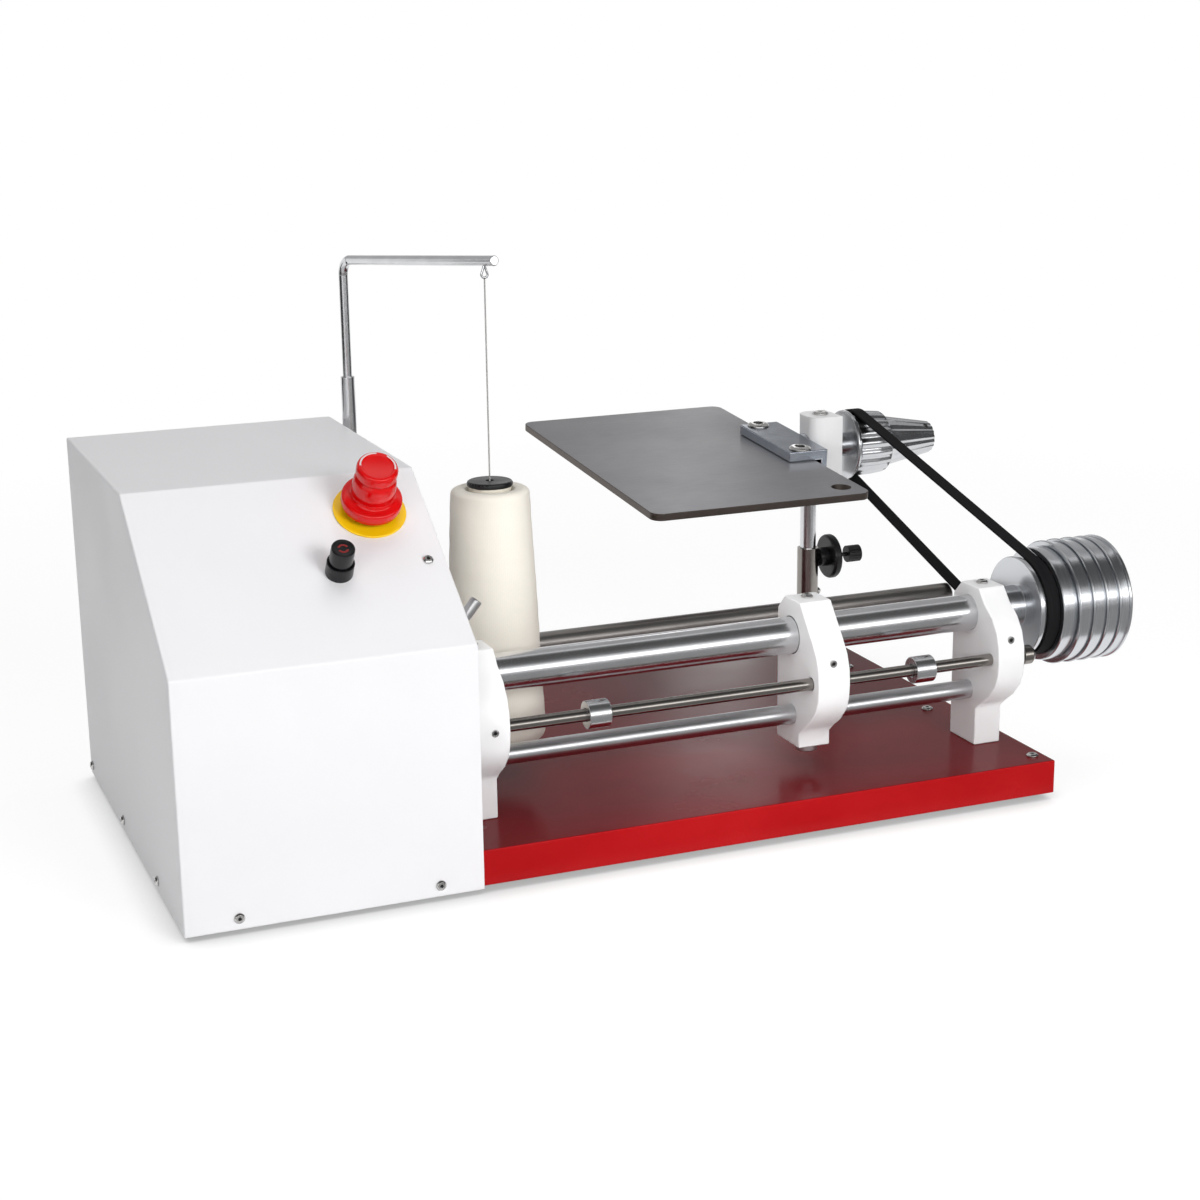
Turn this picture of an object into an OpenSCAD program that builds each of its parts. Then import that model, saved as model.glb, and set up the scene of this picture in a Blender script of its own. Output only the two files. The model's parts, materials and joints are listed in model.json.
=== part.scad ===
// Yarn appearance board winder: housing, traverse shaft, belt drive and turning board.
// Millimetres, +Z up, +X along the main shaft, front panel towards -Y.

/* [Housing] */
// Width of the housing along the shaft
hood_w = 225; // [215:1:235]
// Depth of the housing from front to rear
hood_d = 386; // [380:1:396]
// Height of the housing above its lower edge
hood_h = 293; // [280:1:310]
// Height of the upright front panel
front_h = 190; // [182:1:196]
// Depth taken up by the sloping control panel
slope_d = 147; // [140:1:155]
// Sheet thickness of the housing
sheet = 1.5; // [1:0.1:2]

/* [Base] */
// Position of the right end of the base from the left face of the housing
base_l = 722.5; // [716:0.5:730]
// Height of the base tray
base_h = 28; // [24:1:30]
// Wall thickness of the base tray
base_wall = 3; // [2:0.5:4]
// Height of the rubber feet
foot_h = 6; // [5:0.5:8]
// Radius of the rubber feet
foot_r = 14; // [10:1:16]

/* [Traverse] */
// Radius of the main shaft
shaft_r = 15; // [14:0.5:16]
// Distance of the main shaft behind the front panel
shaft_y = 78; // [76:1:82]
// Height of the main shaft above the ground
shaft_z = 146; // [142:1:150]
// Radius of the shift rod
shift_r = 5; // [4:0.5:5.5]
// Radius of the lower guide rod
guide_r = 8; // [7:0.5:9]
// Thickness of the two end brackets
bracket_t = 24.5; // [22:0.5:27]
// Width of the carriage along the shaft
carriage_w = 28; // [26:1:32]
// Distance of the carriage's left face from the right bracket
carriage_gap = 165; // [150:1:200]
// Distance of the left stop collar's middle from the left bracket
collar_left_gap = 74.7; // [66:0.1:90]
// Distance of the right stop collar's middle from the right bracket
collar_right_gap = 65; // [62:1:77]
// Radius of the stop collars
collar_r = 11; // [9:0.5:12]
// Length of the stop collars
collar_l = 18; // [14:1:20]
// Radius of the rear rail
rail_r = 9.5; // [8:0.5:10]

/* [Belt drive] */
// Distance of the belt's middle beyond the right end of the base
belt_gap = 15; // [14:0.5:17]
// Distance that the belt stands further left at the small pulley
belt_shift = 6.5; // [0:0.5:6.5]
// Width of the belt
belt_w = 11.6; // [10:0.1:12]
// Thickness of the belt
belt_t = 2; // [1.5:0.25:2.5]
// Radius of the smallest step of the large pulley
drive_r = 40.5; // [38:0.5:42]
// Width of one step of the large pulley
step_w = 12.9; // [12:0.1:13]
// Radius of the small pulley under the belt
driven_r = 30.5; // [28:0.5:31]

/* [Board] */
// Distance of the board spindle behind the front panel
spindle_y = 370; // [366:1:372]
// Height of the board spindle above the ground
spindle_z = 233; // [229:0.5:237]
// Radius of the board spindle
spindle_r = 6; // [5:0.5:7]
// Length of the board along the spindle
board_l = 208; // [195:1:215]
// Width of the board across the spindle
board_w = 321; // [300:1:325]
// Thickness of the board
board_t = 6.5; // [5:0.5:7]
// Tilt of the board at rest, in degrees
board_tilt = 4.5; // [0:0.5:6]
// Radius of the post
post_r = 7.5; // [6.5:0.5:8]

/* [Yarn] */
// Largest radius of the yarn package
cone_r = 40; // [36:0.5:41]
// Smallest radius of the yarn package
cone_top_r = 31; // [28:0.5:33]
// Height of the yarn package
cone_h = 206; // [190:1:212]
// Radius of the guide arm
arm_r = 4; // [3:0.5:4.5]
// Radius of the yarn
thread_r = 0.6; // [0.4:0.1:0.8]

/* [Fits] */
// Radial clearance of turning and sliding shafts
run_fit = 0.05; // [0.02:0.01:0.09]
// Gap between fixed pieces
seat_gap = 0.02; // [0.01:0.01:0.04]
// Gap between pieces that move past each other
pass_gap = 0.3; // [0.25:0.05:0.5]

/* [Hidden] */
$fn = 48;
hood_z = foot_h - 2;
base_z = foot_h + base_h;
base_x0 = sheet + 0.2;
base_y0 = sheet + 0.2;
base_y1 = hood_d - sheet - 0.2;
slope_a = atan2(hood_h - front_h, slope_d);
front_z = hood_z + front_h;
top_z = hood_z + hood_h;
left_x = hood_w + 8.8;
right_x = base_l - 40.5;
belt_x = base_l + belt_gap;
carriage_x = right_x - carriage_gap;
collar_left_x = left_x + bracket_t + collar_left_gap;
collar_right_x = right_x - collar_right_gap;
shift_y = shaft_y - 36;
shift_z = shaft_z - 31.5;
guide_y = shaft_y - 3;
guide_z = shaft_z - 66;
waist_y = shaft_y - 10;
waist_z = shaft_z - 64;
rail_y = shaft_y + 118;
rail_z = shaft_z - 18;
rail_x0 = hood_w + 14;
rail_x1 = base_l + 11;
bush_r = shaft_r + 3;
ring_r = shaft_r + 6;
ring_pitch = (carriage_w - 7) / 3;
guide_bush_r = guide_r + 2;
belt_turn = atan2(belt_shift, spindle_y - shaft_y);
groove_w = belt_w + 2.4;
pulley_x0 = belt_x - groove_w / 2 - 4;
step_x = pulley_x0 + 4 + groove_w;
pulley_x1 = step_x + 5 * step_w;
steps = [drive_r + 7.5, drive_r + 10.4, drive_r + 10.8, drive_r + 10.8, drive_r + 10.5];
hub_x0 = right_x + bracket_t + 5.5;
driven_x0 = belt_x - belt_shift - belt_w / 2 - 6.7;
flute_x1 = driven_x0 + 38;
driven_x1 = driven_x0 + 92;
post_x = belt_x - 55;
block_x0 = post_x - 5;
block_x1 = belt_x - 29.5;
block_h = 61;
block_z0 = spindle_z - 30;
clamp_x1 = post_x - post_r - 0.8;
clamp_w = 39;
clamp_l = 106;
web_t = 6.5;
clamp_h = 26;
board_x1 = clamp_x1 - web_t - 5.5;
board_x0 = board_x1 - board_l;
sleeve_r = post_r + 2.5;
sleeve_z1 = spindle_z - 96.5;
knob_x = post_x + sleeve_r;
knob_z = sleeve_z1 - 11;
knob_r = 21;
thumb_r = 8;
motor_x1 = hood_w - 65;
motor_y = shaft_y;
estop_x = hood_w - 45;
estop_s = slope_d / cos(slope_a) - 41;
button_x = hood_w - 83;
button_s = estop_s - 57;
cone_x = hood_w + 62;
cone_y = shaft_y + 67;
seat_z = base_z + 34;
cone_z1 = seat_z + cone_h;
tube_r = 16.5;
tube_h = cone_h + 3;
cap_r = 18;
thread_in = cone_h * 0.29;
guide_x = hood_w + 12;
guide_post_y = hood_d - 20;
guide_top = top_z + 37;
arm_z = guide_top + 99;
bend_r = 14;
arm_turn = atan2(cone_y - guide_post_y, cone_x - guide_x);
eye_run = norm([cone_x - guide_x, cone_y - guide_post_y]);
arm_run = eye_run + 15;
arm_rise = atan2(20, arm_run);
arm_l = norm([arm_run, 20]);
eye_top = arm_z + eye_run * tan(arm_rise) - arm_r / cos(arm_rise) - 0.25;
eye_wire = 1.1;
eye_r = 2.3;
eye_z = eye_top - 6.2;
bend_run = bend_r * tan((90 - arm_rise) / 2);
pin_y = 44;
pin_z = front_z + 11;
screw_h = 2.2;
front_screw_x = [40, hood_w - 34];
left_screw_y = [93, 232, hood_d - 10];
skirt_screw_z = foot_h + 7;
base_screw = [[base_l - 11.5, 18.5], [base_l - 27, 163], [base_l - 30, 304]];
foot_x = [46, base_l - 42];
foot_y = [46, hood_d - 46];
center_x = (max(driven_x1, pulley_x1 + 1) - screw_h) / 2;
center_y = (spindle_y + board_w / 2 * cos(board_tilt) + board_t / 2 * sin(board_tilt) - screw_h) / 2;

// Cylinder along +X
module rod_x(x0, x1, y, z, r) {
    translate([x0, y, z])
        rotate([0, 90, 0])
            cylinder(h = x1 - x0, r = r);
}

// Profile given as [Y, Z] points, drawn out along +X
module plate_x(x0, t) {
    translate([x0, 0, 0])
        rotate([90, 0, 90])
            linear_extrude(t)
                children();
}

// Round bar between two points
module bar(a, b, r) {
    d = b - a;
    l = norm(d);
    translate(a)
        rotate([0, acos(d[2] / l), atan2(d[1], d[0])])
            cylinder(h = l, r = r);
}

// Button head screw with a hexagon socket, head towards +Z
module screw(r, head_r, head_h, l) {
    difference() {
        union() {
            cylinder(h = head_h * 0.5, r = head_r);
            translate([0, 0, head_h * 0.5])
                cylinder(h = head_h * 0.5, r1 = head_r, r2 = head_r * 0.72);
            translate([0, 0, -l])
                cylinder(h = l + 0.1, r = r);
        }
        translate([0, 0, head_h * 0.4])
            cylinder(h = head_h, r = r * 0.7, $fn = 6);
    }
}

// Frame on the sloping panel: +Z points out of the panel
module on_slope(x, s) {
    translate([x, s * cos(slope_a), front_z + s * sin(slope_a)])
        rotate([slope_a, 0, 0])
            children();
}

// Frame turning with the board
module on_spindle() {
    translate([0, spindle_y, spindle_z])
        rotate([board_tilt, 0, 0])
            children();
}

module base_tray() {
    color("firebrick")
        difference() {
            translate([base_x0, base_y0, foot_h])
                cube([base_l - base_x0, base_y1 - base_y0, base_h]);
            translate([base_x0 + base_wall, base_y0 + base_wall, foot_h - 1])
                cube([
                    base_l - base_x0 - 2 * base_wall, base_y1 - base_y0 - 2 * base_wall,
                    base_h - base_wall + 1
                ]);
            hood_screw_places()
                translate([0, 0, -8])
                    cylinder(h = 9, r = 2.2);
            base_screw_places()
                translate([0, 0, -5])
                    cylinder(h = 6, r = 2.7);
        }
}

module bottom_plate() {
    color("gray")
        translate([base_x0 + base_wall + 0.2, base_y0 + base_wall + 0.2, foot_h])
            cube([base_l - base_x0 - 2 * base_wall - 0.4, base_y1 - base_y0 - 2 * base_wall - 0.4, 2]);
}

module rubber_feet() {
    color("dimgray")
        for (x = foot_x)
            for (y = foot_y)
                translate([x, y, 0])
                    cylinder(h = foot_h, r1 = foot_r - 2, r2 = foot_r);
}

// Outline of the housing seen from the side
module hood_outline(extra) {
    polygon([
        [0, -extra], [hood_d + extra, -extra], [hood_d + extra, hood_h],
        [slope_d, hood_h], [0, front_h]
    ]);
}

// Places of the screws along the lower edge of the housing
module hood_screw_places() {
    for (x = front_screw_x)
        translate([x, 0, skirt_screw_z])
            rotate([90, 0, 0])
                children();
    for (y = left_screw_y)
        translate([0, y, skirt_screw_z])
            rotate([0, -90, 0])
                children();
}

module hood() {
    color("white")
        difference() {
            translate([0, 0, hood_z])
                plate_x(0, hood_w)
                    hood_outline(0);
            translate([0, 0, hood_z])
                plate_x(sheet, hood_w - 2 * sheet)
                    offset(delta = -sheet)
                        hood_outline(20);
            translate([hood_w - sheet - 1, sheet, 0])
                cube([sheet + 2, hood_d, base_z + 0.2]);
            rod_x(hood_w - 5, hood_w + 5, shaft_y, shaft_z, shaft_r + 3);
            hood_screw_places()
                translate([0, 0, -8])
                    cylinder(h = 9, r = 2.2);
            on_slope(estop_x, estop_s)
                translate([0, 0, -10])
                    cylinder(h = 20, r = 11);
            on_slope(button_x, button_s)
                translate([0, 0, -10])
                    cylinder(h = 20, r = 8);
            on_slope(hood_w - 14, button_s + 3)
                translate([0, 0, -10])
                    cylinder(h = 20, r = 2.2);
            translate([hood_w, pin_y, pin_z])
                rotate([0, 90, 0])
                    translate([0, 0, -5])
                        cylinder(h = 10, r = 3.05);
        }
}

module rear_panel() {
    color("white")
        difference() {
            translate([sheet + 0.1, hood_d - sheet, hood_z + 2])
                cube([hood_w - 2 * sheet - 0.2, sheet, hood_h - sheet - 2.1]);
            translate([36, hood_d - 5, top_z - 197])
                cube([48, 10, 28]);
            for (i = [0 : 5])
                translate([115, hood_d - 5, top_z - 130 + 12 * i])
                    cube([80, 10, 4]);
        }
}

module power_inlet() {
    color("black")
        difference() {
            union() {
                translate([36.2, hood_d - 22, top_z - 196.8])
                    cube([47.6, 22.5, 27.6]);
                translate([32, hood_d + 0.1, top_z - 200])
                    cube([56, 4, 34]);
                translate([40, hood_d + 0.1, top_z - 196])
                    cube([40, 8, 26]);
            }
            translate([46, hood_d - 10, top_z - 192])
                cube([28, 30, 18]);
        }
}

module hood_screws() {
    color("silver") {
        hood_screw_places()
            screw(2, 4, screw_h, 7);
        on_slope(hood_w - 14, button_s + 3)
            screw(2, 4, screw_h, 7);
    }
}

// Side outline of the end brackets and the carriage, foot at the height z0 and top at z1
module bracket_outline(z0, z1) {
    polygon([
        [shaft_y - 16, z0], [shaft_y - 16, waist_z - 16], [waist_y - 14, waist_z - 9],
        [waist_y - 26, waist_z], [shift_y - 9, shift_z - 22], [shift_y - 13, shift_z - 12],
        [shift_y - 14, shift_z], [shift_y - 13, shift_z + 12], [shift_y - 9, shift_z + 24],
        [shift_y - 1, shift_z + 35], [shaft_y - 24, z1 - 11], [shaft_y - 15, z1], [shaft_y + 12, z1],
        [shaft_y + 24, z1 - 12], [shaft_y + 24, z0]
    ]);
}

// End bracket with the bores of the three shafts
module end_bracket(x0, pin_at) {
    color("whitesmoke")
        difference() {
            plate_x(x0, bracket_t)
                bracket_outline(base_z, shaft_z + 24);
            rod_x(x0 - 1, x0 + bracket_t + 1, shaft_y, shaft_z, bush_r + seat_gap);
            rod_x(x0 - 1, x0 + bracket_t + 1, shift_y, shift_z, shift_r + run_fit);
            rod_x(x0 - 1, x0 + bracket_t + 1, guide_y, guide_z, guide_r + seat_gap);
            translate([x0 + bracket_t / 2, shaft_y, shaft_z + 24 - 5])
                cylinder(h = 10, r = 2.7);
            translate([x0 + bracket_t / 2, shift_y - 20, pin_at])
                rotate([-90, 0, 0])
                    cylinder(h = 14.4, r = 3.02);
        }
}

module left_bracket() {
    end_bracket(left_x, shift_z);
}

module right_bracket() {
    end_bracket(right_x, shift_z + 18);
}

// Short socket set screw pointing forward
module set_screw(y, z) {
    translate([0, y, z])
        rotate([-90, 0, 0])
            difference() {
                cylinder(h = 6, r = 3);
                translate([0, 0, -1])
                    cylinder(h = 3, r = 1.7, $fn = 6);
            }
}

module bracket_screws() {
    color("silver") {
        for (x = [left_x, right_x])
            translate([x + bracket_t / 2, shaft_y, shaft_z + 24])
                screw(2.5, 5, 2.5, 4.5);
        translate([left_x + bracket_t / 2, 0, 0])
            set_screw(shift_y - 14.2, shift_z);
        translate([right_x + bracket_t / 2, 0, 0])
            set_screw(shift_y - 12, shift_z + 18);
    }
}

module shaft_bushes() {
    color("whitesmoke")
        for (x = [left_x, right_x])
            difference() {
                rod_x(x, x + bracket_t, shaft_y, shaft_z, bush_r);
                rod_x(x - 1, x + bracket_t + 1, shaft_y, shaft_z, shaft_r + run_fit);
            }
}

module guide_rod() {
    color("silver")
        rod_x(left_x, right_x + bracket_t, guide_y, guide_z, guide_r);
}

module rear_rail() {
    color("gray")
        union() {
            rod_x(rail_x0, rail_x1 - 2, rail_y, rail_z, rail_r);
            translate([rail_x1 - 2, rail_y, rail_z])
                rotate([0, 90, 0])
                    cylinder(h = 2, r1 = rail_r, r2 = rail_r - 2);
        }
}

module rail_pedestal() {
    color("whitesmoke")
        difference() {
            translate([rail_x0, rail_y - 16, base_z])
                cube([20, 32, rail_z + 15 - base_z]);
            rod_x(rail_x0 - 1, rail_x0 + 21, rail_y, rail_z, rail_r + seat_gap);
        }
}

module motor() {
    color("dimgray")
        difference() {
            union() {
                translate([motor_x1 - 50, motor_y - 30, shaft_z - 30])
                    cube([49.8, 60, 60]);
                rod_x(motor_x1 - 120, motor_x1 - 50, motor_y, shaft_z, 27);
            }
            rod_x(motor_x1 - 40, motor_x1 + 1, motor_y, shaft_z, 6 + run_fit);
        }
}

module motor_mount() {
    color("gray")
        difference() {
            union() {
                translate([motor_x1, motor_y - 36, base_z])
                    cube([5, 72, shaft_z + 34 - base_z]);
                translate([motor_x1 - 40, motor_y - 36, base_z])
                    cube([41, 72, 5]);
            }
            rod_x(motor_x1 - 1, motor_x1 + 6, motor_y, shaft_z, 12);
        }
}

module control_box() {
    color("silver")
        translate([hood_w * 0.1, hood_d * 0.61, base_z])
            cube([hood_w * 0.49, hood_d * 0.26, hood_h * 0.2]);
}

module estop_ring() {
    color("gold")
        on_slope(estop_x, estop_s)
            difference() {
                cylinder(h = 2, r = 27.8);
                translate([0, 0, -1])
                    cylinder(h = 4, r = 11.1);
            }
}

module estop_collar() {
    color("black")
        on_slope(estop_x, estop_s)
            difference() {
                union() {
                    translate([0, 0, 2])
                        cylinder(h = 4.6, r = 17);
                    translate([0, 0, -18])
                        cylinder(h = 21, r = 10.9);
                }
                translate([0, 0, -20])
                    cylinder(h = 40, r = 7 + run_fit);
            }
}

module estop_stem() {
    color("dimgray")
        on_slope(estop_x, estop_s)
            union() {
                translate([0, 0, -12])
                    cylinder(h = 23.7, r = 7);
                translate([0, 0, 11])
                    cylinder(h = 19, r = 5);
            }
}

module estop_head() {
    color("red")
        on_slope(estop_x, estop_s)
            rotate_extrude()
                polygon([
                    [5 + run_fit, 12], [20, 12], [20, 7.5], [22.4, 7.5], [23, 8.3], [23, 14.6],
                    [22.3, 16.6], [20.6, 17.8], [18, 18.6], [16.6, 20.4], [16.4, 23], [16.6, 28],
                    [16.3, 33], [15.6, 37], [14.9, 38.1], [14.3, 38.6], [14.3, 39.8], [15.2, 40.4],
                    [15.6, 41.4], [15.6, 46], [15, 47.8], [13.6, 48.8], [12, 49],
                    [0, 49], [0, 30.3], [5 + run_fit, 30.3]
                ]);
}

module contact_blocks() {
    color("dimgray") {
        on_slope(estop_x, estop_s)
            translate([-15, -20, -44.05])
                cube([30, 40, 26]);
        on_slope(button_x, button_s)
            translate([-9, -9, -39.05])
                cube([18, 18, 26]);
    }
}

module button_bezel() {
    color("black")
        on_slope(button_x, button_s)
            difference() {
                union() {
                    cylinder(h = 12, r = 10.4);
                    translate([0, 0, -13])
                        cylinder(h = 14, r = 7.9);
                }
                translate([0, 0, 1])
                    cylinder(h = 12, r = 9 + run_fit);
                translate([0, 0, -12])
                    cylinder(h = 20, r = 5);
            }
}

module button_cap() {
    color("black")
        on_slope(button_x, button_s)
            union() {
                translate([0, 0, 6])
                    cylinder(h = 19.5, r = 9);
                translate([0, 0, 25.5])
                    cylinder(h = 1.5, r1 = 9, r2 = 7.6);
            }
}

module cone_stand() {
    color("silver")
        union() {
            translate([cone_x - 15, cone_y, base_z])
                cylinder(h = 5, r = 15);
            translate([cone_x - 15, cone_y, base_z])
                cylinder(h = seat_z - base_z - 2, r = 8);
            translate([cone_x, cone_y, seat_z - 6])
                cylinder(h = 6, r = 30);
            translate([cone_x, cone_y, seat_z - 1])
                cylinder(h = cone_h * 0.5, r = 7);
        }
}

module post_sleeve() {
    color("gray")
        difference() {
            union() {
                translate([post_x, spindle_y, base_z])
                    cylinder(h = sleeve_z1 - base_z, r = sleeve_r);
                translate([post_x - 24, spindle_y - 40, base_z])
                    cube([48, 52, 8]);
            }
            translate([post_x, spindle_y, base_z + 20])
                cylinder(h = sleeve_z1, r = post_r + run_fit);
            rod_x(post_x, post_x + 30, spindle_y, knob_z, 3 + run_fit);
            rod_x(post_x + post_r + 1, post_x + 30, spindle_y, sleeve_z1 - 44, 2);
            for (x = [-17, 17])
                translate([post_x + x, spindle_y - 32, base_z - 1])
                    cylinder(h = 10, r = 2.7);
        }
}

module post_screws() {
    color("silver") {
        for (x = [-17, 17])
            translate([post_x + x, spindle_y - 32, base_z + 8])
                screw(2.5, 4.6, 2.6, 7.5);
        translate([post_x + sleeve_r + 0.1, spindle_y, sleeve_z1 - 44])
            rotate([0, 90, 0])
                screw(1.8, 3.4, 3, 1.5);
    }
}

module guide_post() {
    color("silver")
        difference() {
            union() {
                translate([guide_x, guide_post_y, base_z])
                    cylinder(h = guide_top - base_z, r = arm_r + 2);
                translate([guide_x, guide_post_y, base_z])
                    cylinder(h = 5, r = 11);
            }
            translate([guide_x, guide_post_y, base_z + 60])
                cylinder(h = guide_top, r = arm_r + run_fit);
        }
}

module guide_pin() {
    color("gray")
        union() {
            translate([hood_w - 4, pin_y, pin_z])
                rotate([0, 90, 0])
                    cylinder(h = 10.5, r = 3);
            translate([hood_w + 6.5, pin_y, pin_z])
                rotate([0, 40, 0])
                    translate([0, 0, -3])
                        cylinder(h = 16, r = 4.6);
        }
}

// Places of the screws along the right end of the base
module base_screw_places() {
    for (p = base_screw)
        translate([p[0], p[1], base_z])
            children();
}

module base_screws() {
    color("silver")
        base_screw_places()
            screw(2.5, 4.8, 2.4, 6);
}

module main_shaft() {
    color("silver")
        rod_x(motor_x1 + 24, pulley_x1 + 1, shaft_y, shaft_z, shaft_r);
}

module step_pulley() {
    color("lightgray")
        difference() {
            union() {
                rod_x(hub_x0, pulley_x0 + 1, shaft_y, shaft_z, shaft_r + 3);
                rod_x(pulley_x0, pulley_x0 + 4, shaft_y, shaft_z, drive_r + 1.5);
                rod_x(pulley_x0 + 3, step_x + 1, shaft_y, shaft_z, drive_r);
                for (i = [0 : 3])
                    rod_x(step_x + i * step_w, step_x + 1 + (i + 1) * step_w, shaft_y, shaft_z, steps[i]);
                rod_x(step_x + 4 * step_w, pulley_x1 - 1, shaft_y, shaft_z, steps[4]);
                for (i = [1 : 4])
                    rod_x(step_x + i * step_w, step_x + 2.2 + i * step_w, shaft_y, shaft_z, steps[i] + 1.5);
                rod_x(pulley_x1 - 3.2, pulley_x1 - 1, shaft_y, shaft_z, steps[4] + 1.5);
                translate([pulley_x1 - 1, shaft_y, shaft_z])
                    rotate([0, 90, 0])
                        cylinder(h = 1, r1 = steps[4] + 1.5, r2 = steps[4] + 0.5);
            }
            rod_x(hub_x0 - 1, pulley_x1 + 1, shaft_y, shaft_z, shaft_r + seat_gap);
        }
}

module shaft_coupling() {
    color("gray")
        difference() {
            rod_x(motor_x1 + 8, motor_x1 + 52, shaft_y, shaft_z, 22);
            rod_x(motor_x1 + 7, motor_x1 + 23.5, shaft_y, shaft_z, 6 + seat_gap);
            rod_x(motor_x1 + 23.4, motor_x1 + 53, shaft_y, shaft_z, shaft_r + seat_gap);
        }
}

module motor_shaft() {
    color("silver")
        rod_x(motor_x1 - 39, motor_x1 + 22, shaft_y, shaft_z, 6);
}

module carriage() {
    color("whitesmoke")
        difference() {
            plate_x(carriage_x, carriage_w)
                bracket_outline(waist_z - 28, shaft_z + 30);
            rod_x(carriage_x - 1, carriage_x + carriage_w + 1, shaft_y, shaft_z, shaft_r + 0.6);
            rod_x(carriage_x + 3, carriage_x + carriage_w - 3, shaft_y, shaft_z, ring_r + seat_gap);
            rod_x(carriage_x - 1, carriage_x + carriage_w + 1, shift_y, shift_z, shift_r + 0.6);
            rod_x(carriage_x - 1, carriage_x + carriage_w + 1, guide_y, guide_z, guide_bush_r + seat_gap);
            translate([carriage_x + carriage_w / 2, shaft_y, shaft_z + 30 - 5])
                cylinder(h = 10, r = 2.7);
            translate([carriage_x + carriage_w / 2, shift_y - 20, shift_z + 18])
                rotate([-90, 0, 0])
                    cylinder(h = 14.4, r = 3.02);
            translate([carriage_x + carriage_w / 2, shaft_y - 2, waist_z - 29])
                cylinder(h = 9, r = 3.02);
        }
}

module rolling_rings() {
    color("silver")
        for (i = [0 : 2])
            difference() {
                rod_x(
                    carriage_x + 3.5 + i * ring_pitch, carriage_x + 3.1 + (i + 1) * ring_pitch,
                    shaft_y, shaft_z, ring_r
                );
                rod_x(carriage_x, carriage_x + carriage_w, shaft_y, shaft_z, shaft_r + run_fit);
            }
}

module carriage_bush() {
    color("whitesmoke")
        difference() {
            rod_x(carriage_x, carriage_x + carriage_w, guide_y, guide_z, guide_bush_r);
            rod_x(carriage_x - 1, carriage_x + carriage_w + 1, guide_y, guide_z, guide_r + run_fit);
        }
}

module carriage_screws() {
    color("silver") {
        translate([carriage_x + carriage_w / 2, shaft_y, shaft_z + 30])
            screw(2.5, 5, 2.5, 4.5);
        translate([carriage_x + carriage_w / 2, 0, 0])
            set_screw(shift_y - 12, shift_z + 18);
    }
}

module carriage_foot() {
    color("silver")
        union() {
            translate([carriage_x + carriage_w / 2, shaft_y - 2, waist_z - 34])
                cylinder(h = 6, r = 9);
            translate([carriage_x + carriage_w / 2, shaft_y - 2, waist_z - 29])
                cylinder(h = 8.5, r = 3);
        }
}

module shift_rod() {
    color("gray")
        union() {
            rod_x(left_x - 4, right_x + bracket_t + 8, shift_y, shift_z, shift_r);
            rod_x(right_x + bracket_t + 5, right_x + bracket_t + 13, shift_y, shift_z, 8);
            translate([right_x + bracket_t + 13, shift_y, shift_z])
                rotate([0, 90, 0])
                    cylinder(h = 3, r1 = 8, r2 = 5.5);
        }
}

// Stop collar clamped on the shift rod
module stop_collar(x) {
    color("silver")
        difference() {
            rod_x(x - collar_l / 2, x + collar_l / 2, shift_y, shift_z, collar_r);
            rod_x(x - collar_l, x + collar_l, shift_y, shift_z, shift_r + run_fit);
            translate([x, shift_y, shift_z + shift_r])
                cylinder(h = 20, r = 2);
        }
}

module collar_left() {
    stop_collar(collar_left_x);
}

module collar_right() {
    stop_collar(collar_right_x);
}

module post_rod() {
    color("silver")
        union() {
            translate([post_x, spindle_y, base_z + 36])
                cylinder(h = block_z0 - seat_gap - base_z - 36, r = post_r);
            translate([post_x, spindle_y, block_z0 - 2])
                cylinder(h = 15, r = post_r - 3.7);
        }
}

module bearing_block() {
    color("whitesmoke")
        difference() {
            union() {
                translate([block_x0 + 12, spindle_y - 19, block_z0])
                    cube([block_x1 - block_x0 - 12, 38, block_h]);
                translate([block_x0, spindle_y - 7, block_z0])
                    cube([20, 14, block_h]);
                for (y = [-7, 7])
                    translate([block_x0 + 12, spindle_y + y, block_z0])
                        cylinder(h = block_h, r = 12);
            }
            rod_x(block_x0 - 1, block_x1 + 1, spindle_y, spindle_z, 14 + seat_gap);
            translate([post_x, spindle_y, block_z0 - 1])
                cylinder(h = 14.5, r = post_r - 3.7 + seat_gap);
            translate([block_x0 + 16.5, spindle_y, block_z0 + block_h - 6])
                cylinder(h = 10, r = 3.2);
        }
}

module spindle_bearings() {
    color("silver")
        for (x = [block_x0, block_x1 - 8])
            difference() {
                rod_x(x, x + 8, spindle_y, spindle_z, 14);
                rod_x(x - 1, x + 9, spindle_y, spindle_z, spindle_r + run_fit);
            }
}

module block_screw() {
    color("silver")
        translate([block_x0 + 16.5, spindle_y, block_z0 + block_h])
            screw(3, 7.6, 2.8, 5.5);
}

module spindle() {
    color("silver")
        rod_x(clamp_x1 - web_t, driven_x1 - 4, spindle_y, spindle_z, spindle_r);
}

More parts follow.
